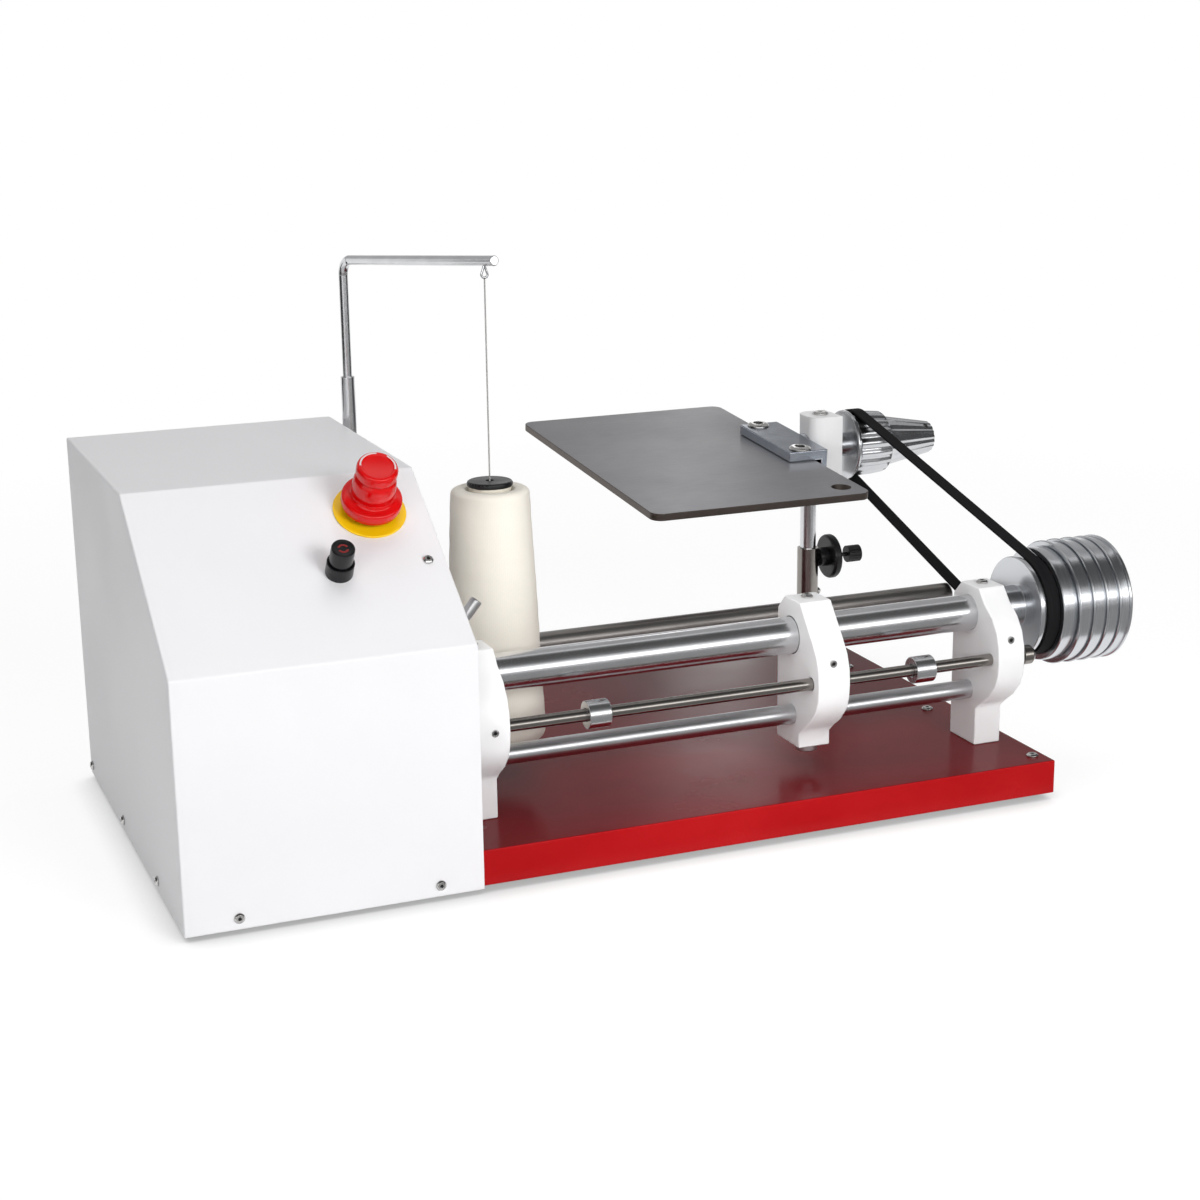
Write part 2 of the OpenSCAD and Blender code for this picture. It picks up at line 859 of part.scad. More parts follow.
module cone_pulley() {
    color("lightgray")
        difference() {
            union() {
                rod_x(block_x1 + 1, driven_x0 + 1, spindle_y, spindle_z, 11);
                rod_x(driven_x0, driven_x0 + 3.5, spindle_y, spindle_z, driven_r + 2);
                rod_x(driven_x0 + 3, driven_x0 + 24, spindle_y, spindle_z, driven_r);
                translate([driven_x0 + 24, spindle_y, spindle_z])
                    rotate([0, 90, 0])
                        cylinder(h = flute_x1 - driven_x0 - 24, r1 = driven_r, r2 = driven_r - 1.6);
                translate([flute_x1, spindle_y, spindle_z])
                    rotate([0, 90, 0])
                        cylinder(h = driven_x1 - flute_x1, r1 = driven_r - 6, r2 = driven_r - 16);
            }
            rod_x(block_x1, driven_x1 - 3, spindle_y, spindle_z, spindle_r + seat_gap);
            for (i = [0 : 17])
                translate([0, spindle_y, spindle_z])
                    rotate([i * 20, 0, 0]) {
                        rod_x(driven_x0 + 3.5, driven_x0 + 24.2, 0, driven_r + 1.6, 3);
                        bar([driven_x0 + 24, 0, driven_r + 1.6], [flute_x1 + 1, 0, driven_r - 0.1], 3);
                        bar([flute_x1, 0, driven_r - 4.8], [driven_x1 + 1, 0, driven_r - 15], 2.2);
                    }
            translate([driven_x1 - 8, spindle_y, spindle_z])
                cylinder(h = 30, r = 2);
        }
}

module board_clamp() {
    color("silver")
        on_spindle()
            difference() {
                translate([clamp_x1 - clamp_w, -clamp_l / 2, -clamp_h / 2])
                    cube([clamp_w, clamp_l, clamp_h]);
                translate([clamp_x1 - clamp_w - 1, -clamp_l, -board_t / 2 - 0.2])
                    cube([clamp_w + 1 - web_t, 2 * clamp_l, board_t + 0.4]);
                rod_x(clamp_x1 - web_t - 1, clamp_x1 + 1, 0, 0, spindle_r + seat_gap);
                for (y = [-clamp_l / 2 + 10, clamp_l / 2 - 10])
                    translate([clamp_x1 - clamp_w + 15, y, 0])
                        cylinder(h = 30, r = 3.02);
            }
}

module clamp_screws() {
    color("silver")
        on_spindle()
            for (y = [-clamp_l / 2 + 10, clamp_l / 2 - 10])
                translate([clamp_x1 - clamp_w + 15, y, clamp_h / 2])
                    screw(3, 6.4, 3, clamp_h / 2 - board_t / 2 - 0.4);
}

module board() {
    color("darkslategray")
        on_spindle()
            difference() {
                translate([0, 0, -board_t / 2])
                    linear_extrude(board_t)
                        union() {
                            translate([board_x0 + 10, -board_w / 2])
                                square([board_l - 20, board_w]);
                            translate([board_x0, -board_w / 2 + 10])
                                square([board_l, board_w - 20]);
                            for (x = [board_x0 + 10, board_x1 - 10])
                                for (y = [-board_w / 2 + 10, board_w / 2 - 10])
                                    translate([x, y])
                                        circle(r = 10);
                        }
                translate([board_x1 - 18, -board_w / 2 + 24, -board_t])
                    cylinder(h = 2 * board_t, r = 5);
            }
}

// Outline around both pulleys at a given distance from them
module belt_outline(d) {
    hull() {
        translate([shaft_y, shaft_z])
            circle(r = drive_r + d, $fn = 96);
        translate([spindle_y, spindle_z])
            circle(r = driven_r + d, $fn = 96);
    }
}

module belt() {
    color("black")
        translate([belt_x, shaft_y, 0])
            rotate([0, 0, belt_turn])
                translate([-belt_x, -shaft_y, 0])
                    plate_x(belt_x - belt_w / 2, belt_w)
                        difference() {
                            belt_outline(pass_gap + belt_t);
                            belt_outline(pass_gap);
                        }
}

module post_knob() {
    color("black")
        difference() {
            union() {
                rod_x(post_x + post_r + 0.3, knob_x + 1, spindle_y, knob_z, 3);
                rod_x(knob_x + 0.5, knob_x + 9.2, spindle_y, knob_z, 9);
                translate([knob_x + 9, spindle_y, knob_z])
                    rotate([0, 90, 0])
                        rotate_extrude()
                            polygon([
                                [0, 0], [knob_r - 2.4, 0], [knob_r - 0.8, 0.8], [knob_r, 2.4], [knob_r, 6.1],
                                [knob_r - 0.8, 7.7], [knob_r - 2.4, 8.5], [0, 8.5]
                            ]);
            }
            rod_x(knob_x + 11, knob_x + 30, spindle_y, knob_z, 2 + run_fit);
        }
}

module thumb_screw() {
    color("black")
        difference() {
            union() {
                rod_x(knob_x + 12, knob_x + 32, spindle_y, knob_z, 2);
                rod_x(knob_x + 31.5, knob_x + 44.5, spindle_y, knob_z, thumb_r);
            }
            for (i = [0 : 15])
                translate([0, spindle_y, knob_z])
                    rotate([i * 22.5, 0, 0])
                        rod_x(knob_x + 33, knob_x + 43, 0, thumb_r + 0.4, 1);
        }
}

module guide_arm() {
    color("silver")
        translate([guide_x, guide_post_y, 0])
            rotate([0, 0, arm_turn])
                union() {
                    translate([0, 0, guide_top - 90])
                        cylinder(h = arm_z - bend_run - guide_top + 90.8, r = arm_r);
                    translate([bend_r, 0, arm_z - bend_run])
                        rotate([90, 0, 0])
                            rotate([0, 0, 90 + arm_rise])
                                rotate_extrude(angle = 90 - arm_rise)
                                    translate([bend_r, 0])
                                        circle(r = arm_r + 0.05);
                    translate([bend_run * cos(arm_rise), 0, arm_z + bend_run * sin(arm_rise)])
                        rotate([0, 90 - arm_rise, 0])
                            translate([0, 0, -0.8])
                                cylinder(h = arm_l - bend_run + 0.8, r = arm_r);
                }
}

module thread_eye() {
    color("silver")
        translate([cone_x, cone_y, eye_z])
            union() {
                rotate([90, 0, 0])
                    rotate_extrude()
                        translate([eye_r, 0])
                            circle(r = eye_wire, $fn = 24);
                translate([0, 0, eye_r])
                    cylinder(h = eye_top - eye_z - eye_r, r = eye_wire + 0.4);
            }
}

module thread() {
    color("gray")
        translate([cone_x, cone_y, cone_z1 - thread_in])
            cylinder(h = eye_z - eye_r - eye_wire - seat_gap - cone_z1 + thread_in, r = thread_r);
}

module yarn_cone() {
    color("ivory")
        translate([cone_x, cone_y, seat_z])
            rotate_extrude()
                polygon([
                    [tube_r + 0.2, 4], [cone_r - 6, 4], [cone_r - 2, 5.5], [cone_r, 10],
                    [cone_top_r, cone_h - 7], [cone_top_r - 0.8, cone_h - 3],
                    [cone_top_r - 2.6, cone_h], [cone_top_r - 5.5, cone_h + 1.6],
                    [cone_top_r - 9, cone_h + 1], [tube_r + 2.5, cone_h - 2], [tube_r + 0.2, cone_h - 4]
                ]);
}

module cone_tube() {
    color("tan")
        translate([cone_x, cone_y, seat_z])
            difference() {
                cylinder(h = tube_h, r = tube_r);
                translate([0, 0, -1])
                    cylinder(h = tube_h + 2, r = tube_r - 3);
            }
}

module cone_cap() {
    color("black")
        translate([cone_x, cone_y, seat_z + tube_h])
            difference() {
                union() {
                    rotate_extrude()
                        polygon([
                            [0, 0], [cap_r - 0.8, 0], [cap_r, 0.8], [cap_r, 2.9], [cap_r - 0.5, 3.9],
                            [cap_r - 1.6, 4.4], [0, 4.4]
                        ]);
                    translate([0, 0, -5])
                        cylinder(h = 6, r = tube_r - 3 - run_fit);
                }
                translate([0, 0, -6])
                    cylinder(h = 12, r = 3.2);
            }
}

translate([-center_x, -center_y, 0]) {
    base_tray();
    bottom_plate();
    rubber_feet();
    hood();
    rear_panel();
    power_inlet();
    hood_screws();
    left_bracket();
    right_bracket();
    bracket_screws();
    shaft_bushes();
    guide_rod();
    rear_rail();
    rail_pedestal();
    motor();
    motor_mount();
    control_box();
    estop_ring();
    estop_collar();
    estop_stem();
    estop_head();
    contact_blocks();
    button_bezel();
    button_cap();
    cone_stand();
    post_sleeve();
    post_screws();
    guide_post();
    guide_pin();
    base_screws();
    main_shaft();
    step_pulley();
    shaft_coupling();
    motor_shaft();
    carriage();
    rolling_rings();
    carriage_bush();
    carriage_screws();
    carriage_foot();
    shift_rod();
    collar_left();
    collar_right();
    post_rod();
    bearing_block();
    spindle_bearings();
    block_screw();
    spindle();
    cone_pulley();
    board_clamp();
    clamp_screws();
    board();
    belt();
    post_knob();
    thumb_screw();
    guide_arm();
    thread_eye();
    thread();
    yarn_cone();
    cone_tube();
    cone_cap();
}
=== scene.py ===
"""Looks of a yarn appearance board winder: finishes, yarn, small details, floor and light."""
import json
import math

import bmesh
import bpy
from mathutils import Matrix, Vector


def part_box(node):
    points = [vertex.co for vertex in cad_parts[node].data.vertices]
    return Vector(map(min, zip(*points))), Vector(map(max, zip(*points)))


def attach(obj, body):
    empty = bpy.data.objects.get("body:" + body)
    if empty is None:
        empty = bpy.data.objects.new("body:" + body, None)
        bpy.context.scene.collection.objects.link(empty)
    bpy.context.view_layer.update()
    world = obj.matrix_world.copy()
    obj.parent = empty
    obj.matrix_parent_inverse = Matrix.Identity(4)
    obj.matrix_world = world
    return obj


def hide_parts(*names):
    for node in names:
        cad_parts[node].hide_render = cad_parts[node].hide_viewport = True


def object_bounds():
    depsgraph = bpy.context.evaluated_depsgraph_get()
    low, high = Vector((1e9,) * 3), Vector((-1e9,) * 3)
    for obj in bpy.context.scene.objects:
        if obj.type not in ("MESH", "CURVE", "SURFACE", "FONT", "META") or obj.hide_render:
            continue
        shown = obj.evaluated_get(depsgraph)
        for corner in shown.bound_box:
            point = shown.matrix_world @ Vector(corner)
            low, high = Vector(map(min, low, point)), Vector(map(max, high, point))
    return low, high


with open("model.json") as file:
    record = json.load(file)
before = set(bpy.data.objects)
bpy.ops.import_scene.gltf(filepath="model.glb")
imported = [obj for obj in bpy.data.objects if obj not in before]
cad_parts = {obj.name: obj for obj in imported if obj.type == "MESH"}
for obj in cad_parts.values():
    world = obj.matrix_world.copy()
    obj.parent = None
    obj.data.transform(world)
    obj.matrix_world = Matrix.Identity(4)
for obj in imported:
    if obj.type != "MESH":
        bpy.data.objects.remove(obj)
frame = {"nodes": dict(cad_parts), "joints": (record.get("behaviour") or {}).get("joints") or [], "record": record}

cad_low, cad_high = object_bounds()
MM = 0.001
TURN = 2 * math.pi
WHITE = (1, 1, 1, 1)
scene = bpy.context.scene
record = frame["record"]
JOINT = {joint["name"]: joint for joint in frame["joints"]}
BODY_OF = {node: body for body, nodes in record["behaviour"]["bodies"].items() for node in nodes}


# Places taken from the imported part

def middle(node):
    """Middle of a node's box."""
    low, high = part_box(node)
    return (low + high) / 2


HOOD_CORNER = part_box("hood")[0]
SHAFT = Vector(JOINT["shaft_spin"]["pos_m"])
SPINDLE = Vector(JOINT["board_spin"]["pos_m"])
STOP = Vector(JOINT["stop_twist"]["pos_m"])
PANEL_OUT = Vector(JOINT["stop_twist"]["axis"]).normalized()
BUTTON = middle("button_cap")
PACKAGE = middle("yarn_cone")


def new_object(name, data):
    """New object in the scene."""
    obj = bpy.data.objects.new(name, data)
    scene.collection.objects.link(obj)
    return obj


# Camera at the photograph's place, measured from the lower front left corner of the housing

CAMERA_OFFSET = Vector((-0.26492, -1.45993, 0.63815))
CAMERA_AZIMUTH = math.radians(-21.843)
CAMERA_ELEVATION = math.radians(15.145)
CAMERA_ROLL = math.radians(0.742)
CAMERA_LENS = 66.52
SENSOR_WIDTH = 36
CLIP_NEAR = 0.05
CLIP_FAR = 50


def make_camera():
    data = bpy.data.cameras.new("camera")
    data.lens = CAMERA_LENS
    data.sensor_width = SENSOR_WIDTH
    data.clip_start = CLIP_NEAR
    data.clip_end = CLIP_FAR
    camera = new_object("camera", data)
    flat = math.cos(CAMERA_ELEVATION)
    back = Vector((
        math.sin(CAMERA_AZIMUTH) * flat,
        -math.cos(CAMERA_AZIMUTH) * flat,
        math.sin(CAMERA_ELEVATION),
    ))
    right = Vector((0, 0, 1)).cross(back).normalized()
    up = back.cross(right)
    turn = Matrix((right, up, back)).transposed() @ Matrix.Rotation(-CAMERA_ROLL, 3, "Z")
    camera.matrix_world = Matrix.Translation(HOOD_CORNER + CAMERA_OFFSET) @ turn.to_4x4()
    scene.camera = camera


make_camera()


# Shader helpers

def material(name, color, roughness, metallic=0.0, **sockets):
    """New material with the constant values of its shader."""
    made = bpy.data.materials.new(name)
    made.use_nodes = True
    shader = shader_of(made)
    shader.inputs["Base Color"].default_value = (*color, 1)
    shader.inputs["Roughness"].default_value = roughness
    shader.inputs["Metallic"].default_value = metallic
    for socket, value in sockets.items():
        shader.inputs[socket.replace("_", " ")].default_value = value
    return made


def shader_of(made):
    return made.node_tree.nodes["Principled BSDF"]


def add(made, kind, **values):
    """New node; values name its inputs, or its settings where no input has that name."""
    node = made.node_tree.nodes.new(kind)
    for name, value in values.items():
        socket = name.replace("_", " ")
        if socket in node.inputs:
            set_input(made, node.inputs[socket], value)
        else:
            setattr(node, name, value)
    return node


def set_input(made, socket, value):
    """Links an output socket or stores a constant."""
    if isinstance(value, bpy.types.NodeSocket):
        made.node_tree.links.new(value, socket)
    else:
        socket.default_value = value


def place(made, stretch=(1, 1, 1)):
    """Object coordinates in metres, stretched."""
    coordinates = add(made, "ShaderNodeTexCoord")
    mapping = add(made, "ShaderNodeMapping", Vector=coordinates.outputs["Object"], Scale=stretch)
    return mapping.outputs["Vector"]


def around(made, centre, axis):
    """Coordinates (angle, along, radius) about an axis through centre, in radians and metres."""
    coordinates = add(made, "ShaderNodeTexCoord")
    shifted = add(made, "ShaderNodeVectorMath", operation="SUBTRACT")
    set_input(made, shifted.inputs[0], coordinates.outputs["Object"])
    set_input(made, shifted.inputs[1], centre)
    parts = add(made, "ShaderNodeSeparateXYZ", Vector=shifted.outputs[0])
    along = parts.outputs[axis]
    across = [parts.outputs[i] for i in range(3) if i != axis]
    angle = math_node(made, "ARCTAN2", across[0], across[1])
    squares = [math_node(made, "MULTIPLY", part, part) for part in across]
    radius = math_node(made, "SQRT", math_node(made, "ADD", *squares))
    joined = add(made, "ShaderNodeCombineXYZ", X=angle, Y=along, Z=radius)
    return joined.outputs[0]


def math_node(made, operation, *values):
    node = add(made, "ShaderNodeMath", operation=operation)
    for socket, value in zip(node.inputs, values):
        set_input(made, socket, value)
    return node.outputs[0]


def scaled(made, vector, factors):
    """Vector with each of its parts multiplied by a factor."""
    node = add(made, "ShaderNodeVectorMath", operation="MULTIPLY")
    set_input(made, node.inputs[0], vector)
    set_input(made, node.inputs[1], factors)
    return node.outputs[0]


def noise(made, vector, scale, detail=3.0, roughness=0.5):
    node = add(made, "ShaderNodeTexNoise", Vector=vector, Scale=scale, Detail=detail, Roughness=roughness)
    return node.outputs["Fac"]


def spread(made, value, low, high, start=0.3, end=0.7):
    """Maps start..end of a value to low..high."""
    node = add(made, "ShaderNodeMapRange", Value=value)
    for name, number in (("From Min", start), ("From Max", end), ("To Min", low), ("To Max", high)):
        node.inputs[name].default_value = number
    return node.outputs["Result"]


def tint(made, value, dark, light):
    """Base colour between two colours, for a value from 0 to 1."""
    node = add(made, "ShaderNodeMix", data_type="RGBA")
    set_input(made, node.inputs[0], value)
    node.inputs[6].default_value = (*dark, 1)
    node.inputs[7].default_value = (*light, 1)
    set_input(made, shader_of(made).inputs["Base Color"], node.outputs[2])


def mottle(made, value, dark, light):
    """Base colour between two colours, by a noise."""
    tint(made, spread(made, value, 0, 1), dark, light)


def bump(made, height, depth, strength):
    """Surface relief of the given depth in metres."""
    before = shader_of(made).inputs["Normal"].links
    node = add(made, "ShaderNodeBump", Height=height, Distance=depth, Strength=strength)
    if before:
        set_input(made, node.inputs["Normal"], before[0].from_socket)
    set_input(made, shader_of(made).inputs["Normal"], node.outputs["Normal"])


def rough(made, value, low, high):
    """Roughness between two levels, by a noise."""
    set_input(made, shader_of(made).inputs["Roughness"], spread(made, value, low, high))


def drawn_highlight(made):
    """Highlight that is drawn out about the X axis."""
    tangent = add(made, "ShaderNodeTangent", direction_type="RADIAL", axis="X")
    set_input(made, shader_of(made).inputs["Tangent"], tangent.outputs["Tangent"])


# Materials

def powder_coat():
    made = material("powder_coat", (0.865, 0.862, 0.88), 0.42, Coat_Weight=0.05, Coat_Roughness=0.35)
    grain = noise(made, place(made), 1400, 2)
    cloud = noise(made, place(made), 9, 3)
    mottle(made, cloud, (0.855, 0.852, 0.87), (0.878, 0.875, 0.892))
    rough(made, cloud, 0.38, 0.50)
    bump(made, grain, 0.00006, 0.5)
    return made


def gloss_red(name, dark, light, shine):
    made = material(name, light, 0.26, Specular_IOR_Level=shine)
    ripple = noise(made, place(made), 120, 2)
    cloud = noise(made, place(made), 14, 4)
    mottle(made, cloud, dark, light)
    rough(made, cloud, 0.18, 0.28)
    bump(made, ripple, 0.00005, 0.25)
    return made


def white_plastic():
    made = material("white_plastic", (0.87, 0.87, 0.87), 0.36, Subsurface_Weight=0.15, Subsurface_Scale=0.006)
    shader_of(made).inputs["Subsurface Radius"].default_value = (1.0, 0.95, 0.9)
    lines = noise(made, place(made, (1, 1, 60)), 40, 4)
    cloud = noise(made, place(made), 30, 3)
    mottle(made, cloud, (0.825, 0.825, 0.83), (0.855, 0.855, 0.86))
    rough(made, lines, 0.30, 0.44)
    bump(made, lines, 0.00004, 0.25)
    return made


def bright_steel(name, color, low, high, fine=60):
    """Steel with lines along the X axis, closer together with a larger value of fine."""
    made = material(name, color, (low + high) / 2, 1.0)
    lines = noise(made, place(made, (0.4, fine, fine)), 30, 3)
    cloud = noise(made, place(made, (1, 3, 3)), 20, 3)
    mottle(made, cloud, [0.94 * c for c in color], [1.06 * c for c in color])
    rough(made, lines, low, high)
    return made


def screw_steel():
    made = material("screw_steel", (0.60, 0.59, 0.58), 0.20, 1.0)
    cloud = noise(made, place(made), 260, 3)
    mottle(made, cloud, (0.53, 0.52, 0.51), (0.67, 0.66, 0.65))
    rough(made, cloud, 0.15, 0.30)
    return made


# Near black for faces in screw sockets and in the pulley's slot: painted shade
def painted_shade_screw_recess():
    made = material("painted_shade_screw_recess", (0.05, 0.05, 0.05), 0.5, 0.6)
    cloud = noise(made, place(made), 300, 2)
    mottle(made, cloud, (0.035, 0.035, 0.035), (0.07, 0.07, 0.07))
    return made


def turned_metal(name, centre, low, high):
    """Aluminium turned about the X axis: fine rings and a streaked highlight."""
    made = material(name, (0.74, 0.755, 0.78), 0.14, 1.0, Anisotropic=0.4, Anisotropic_Rotation=0.25)
    drawn_highlight(made)
    rings = noise(made, scaled(made, around(made, centre, 0), (0.0004, 1, 1)), 1500, 2)
    mottle(made, rings, (0.63, 0.645, 0.67), (0.71, 0.725, 0.75))
    rough(made, rings, low, high)
    return made


def board_metal():
    """Dark brushed sheet; its highlight is drawn out along the depth of the board."""
    made = material("board_metal", (0.26, 0.258, 0.262), 0.38, 0.7, Specular_IOR_Level=0.25, Anisotropic=0.8)
    drawn_highlight(made)
    brush = noise(made, place(made, (4, 90, 90)), 14, 5, 0.6)
    cloud = noise(made, place(made), 8, 4)
    mottle(made, cloud, (0.275, 0.272, 0.285), (0.345, 0.341, 0.355))
    rough(made, brush, 0.32, 0.46)
    bump(made, brush, 0.00003, 0.3)
    return made


def zinc_plate(name, dark, light):
    made = material(name, light, 0.16, 1.0)
    cloud = noise(made, place(made), 45, 4)
    brush = noise(made, place(made, (60, 1, 60)), 40, 3)
    mottle(made, cloud, dark, light)
    rough(made, brush, 0.12, 0.22)
    return made


def belt_rubber():
    """Matte belt with fine ribs along its length."""
    made = material("belt_rubber", (0.007, 0.007, 0.008), 0.75, Specular_IOR_Level=0.12)
    ribs = noise(made, place(made, (60, 0.6, 0.6)), 40, 2)
    mottle(made, ribs, (0.004, 0.004, 0.005), (0.013, 0.013, 0.014))
    rough(made, ribs, 0.65, 0.85)
    bump(made, ribs, 0.00008, 0.6)
    return made


def black_plastic(name, low, high):
    made = material(name, (0.008, 0.008, 0.009), 0.34, Specular_IOR_Level=0.35)
    grain = noise(made, place(made), 1100, 2)
    cloud = noise(made, place(made), 60, 3)
    mottle(made, cloud, (0.006, 0.006, 0.007), (0.010, 0.010, 0.011))
    rough(made, cloud, low, high)
    bump(made, grain, 0.00003, 0.4)
    return made


def coloured_plastic(name, dark, light, low, high):
    made = material(name, light, low, Specular_IOR_Level=0.5)
    cloud = noise(made, place(made), 25, 2)
    mottle(made, cloud, dark, light)
    rough(made, cloud, low, high)
    return made


def plain_rubber():
    made = material("plain_rubber", (0.02, 0.02, 0.021), 0.7)
    grain = noise(made, place(made), 700, 3)
    mottle(made, grain, (0.015, 0.015, 0.016), (0.028, 0.028, 0.029))
    bump(made, grain, 0.00008, 0.5)
    return made


def wound_yarn():
    """Cream yarn laid in crossing turns about the package's axis."""
    made = material("wound_yarn", (0.79, 0.75, 0.67), 0.85, Sheen_Weight=0.12, Sheen_Roughness=0.5)
    laid = scaled(made, around(made, PACKAGE, 2), (0.034, 1, 0))
    waves = []
    for lean in (0.32, -0.32):
        lay = add(made, "ShaderNodeMapping", Vector=laid, Rotation=(0, 0, lean))
        wave = add(made, "ShaderNodeTexWave", Vector=lay.outputs[0], Scale=330, Distortion=1.2, Detail=2,
                   bands_direction="Y", wave_profile="SIN")
        wave.inputs["Detail Scale"].default_value = 1.4
        waves.append(wave.outputs["Fac"])
    crossing = math_node(made, "MAXIMUM", *waves)
    cloud = noise(made, laid, 60, 4)
    fuzz = noise(made, place(made), 1600, 3)
    shade = math_node(made, "MULTIPLY", crossing, spread(made, cloud, 0.75, 1.0))
    tint(made, shade, (0.69, 0.65, 0.57), (0.755, 0.72, 0.65))
    bump(made, crossing, 0.00014, 0.35)
    bump(made, fuzz, 0.00008, 0.5)
    return made


def spun_thread():
    made = material("spun_thread", (0.36, 0.35, 0.34), 0.8, Sheen_Weight=0.3)
    turned = add(made, "ShaderNodeMapping", Vector=around(made, PACKAGE, 2), Scale=(1, 5600, 0))
    parts = add(made, "ShaderNodeSeparateXYZ", Vector=turned.outputs[0])
    ply = math_node(made, "SINE", math_node(made, "ADD", parts.outputs[0], parts.outputs[1]))
    tint(made, spread(made, ply, 0, 1, -1, 1), (0.24, 0.235, 0.23), (0.44, 0.43, 0.42))
    bump(made, ply, 0.0001, 0.6)
    return made


def cream_card():
    made = material("cream_card", (0.74, 0.70, 0.60), 0.7)
    fibre = noise(made, place(made, (1, 1, 8)), 160, 4)
    mottle(made, fibre, (0.68, 0.63, 0.53), (0.80, 0.76, 0.67))
    bump(made, fibre, 0.00008, 0.4)
    return made


LOOK = {
    "coat": powder_coat(),
    "red": gloss_red("gloss_red", (0.38, 0.004, 0.006), (0.43, 0.006, 0.008), 0.12),
    # Darker copy of the same red for the faces that look up: painted shade
    "red_painted_shade_top": gloss_red("gloss_red_painted_shade_top", (0.135, 0.004, 0.007), (0.165, 0.006, 0.010), 0.08),
    "plastic": white_plastic(),
    "polished": bright_steel("polished_steel", (0.70, 0.705, 0.72), 0.17, 0.25),
    "drawn": bright_steel("drawn_steel", (0.30, 0.28, 0.262), 0.17, 0.27),
    "dull": bright_steel("dull_steel", (0.36, 0.34, 0.325), 0.30, 0.42),
    "ground": bright_steel("ground_steel", (0.62, 0.625, 0.64), 0.27, 0.35),
    "board_edge": bright_steel("board_edge", (0.12, 0.10, 0.088), 0.40, 0.52),
    "satin": bright_steel("satin_steel", (0.60, 0.60, 0.61), 0.34, 0.46),
    "screw": screw_steel(),
    "painted_shade_recess": painted_shade_screw_recess(),
    "big_pulley": turned_metal("large_pulley_metal", SHAFT, 0.19, 0.27),
    "small_pulley": bright_steel("small_pulley_metal", (0.64, 0.65, 0.67), 0.20, 0.27, 3),
    "board": board_metal(),
    "zinc": zinc_plate("zinc_plate", (0.52, 0.57, 0.64), (0.62, 0.66, 0.72)),
    # Darker copy of the same zinc for the clamp's top: painted shade
    "zinc_painted_shade_top": zinc_plate("zinc_painted_shade_top", (0.17, 0.19, 0.225), (0.24, 0.26, 0.30)),
    "belt": belt_rubber(),
    "black": black_plastic("black_plastic", 0.26, 0.42),
    "glossy_black": black_plastic("glossy_black", 0.12, 0.24),
    "red_head": coloured_plastic("red_head", (0.66, 0.001, 0.002), (0.72, 0.002, 0.003), 0.11, 0.16),
    "yellow_ring": coloured_plastic("yellow_ring", (1.0, 0.60, 0.003), (1.0, 0.64, 0.005), 0.20, 0.26),
    "mark_white": coloured_plastic("mark_white", (0.70, 0.62, 0.62), (0.80, 0.74, 0.74), 0.4, 0.5),
    "mark_red": coloured_plastic("mark_red", (0.20, 0.008, 0.008), (0.26, 0.012, 0.012), 0.35, 0.45),
    "rubber": plain_rubber(),
    "yarn": wound_yarn(),
    "thread": spun_thread(),
    "card": cream_card(),
}


# Mesh helpers

SHARP_ANGLE = math.radians(28)
SHARP_TURNED_ANGLE = math.radians(40)
FLAT_ANGLE = math.radians(0.4)
JOIN_DISTANCE = 2e-6
ON_AXIS = 1e-6
MANY_CORNERS = 6
EDGE_STEPS = 3
# Share of the narrower face beside an edge that its rounding may take
EDGE_SHARE = 0.42
# Weight above which a rounded edge is shaded smooth
SMOOTH_WEIGHT = 0.05

# Shortest edge that is rounded, in millimetres, on pieces whose flat faces have holes
SHORTEST = {
    "hood": 10, "rear_panel": 6, "base_tray": 6, "left_bracket": 3, "right_bracket": 3, "carriage": 3,
    "bearing_block": 3, "board_clamp": 3, "board": 1, "rail_pedestal": 3, "post_sleeve": 3,
    "motor_mount": 3, "power_inlet": 3,
}

# Pieces whose faces with holes are split into triangles, because a rounded edge would tear them
SPLIT = {
    "hood", "base_tray", "rear_panel", "rear_rail", "bearing_block", "block_screw", "carriage_screws",
    "post_screws", "thumb_screw",
}


def mesh_object(name, builder, made):
    """New object from a finished bmesh, with a material."""
    mesh = bpy.data.meshes.new(name)
    mesh.materials.append(made)
    builder.to_mesh(mesh)
    builder.free()
    return new_object(name, mesh)


def object_of(name, builder, node, look):
    """New piece from a finished bmesh, on a node's body and with the given look."""
    obj = mesh_object(name, builder, LOOK[look])
    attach(obj, BODY_OF[node])
    return obj


def face_width(face, edge):
    """Mean width of a face across one of its edges."""
    return face.calc_area() / max(edge.calc_length(), 1e-9)


def painted_shade_in_recess(face):
    """1 for a face beside an inner edge, such as the socket of a screw; such faces get painted shade."""
    inner = [e for e in face.edges if len(e.link_faces) == 2 and not e.is_convex]
    return int(any(e.calc_face_angle(0) > SHARP_ANGLE for e in inner))


def painted_shade_on_top(face):
    """1 for a face that looks up; these faces get a darker copy of the look, painted shade."""
    return int(face.normal.z > 0.9)


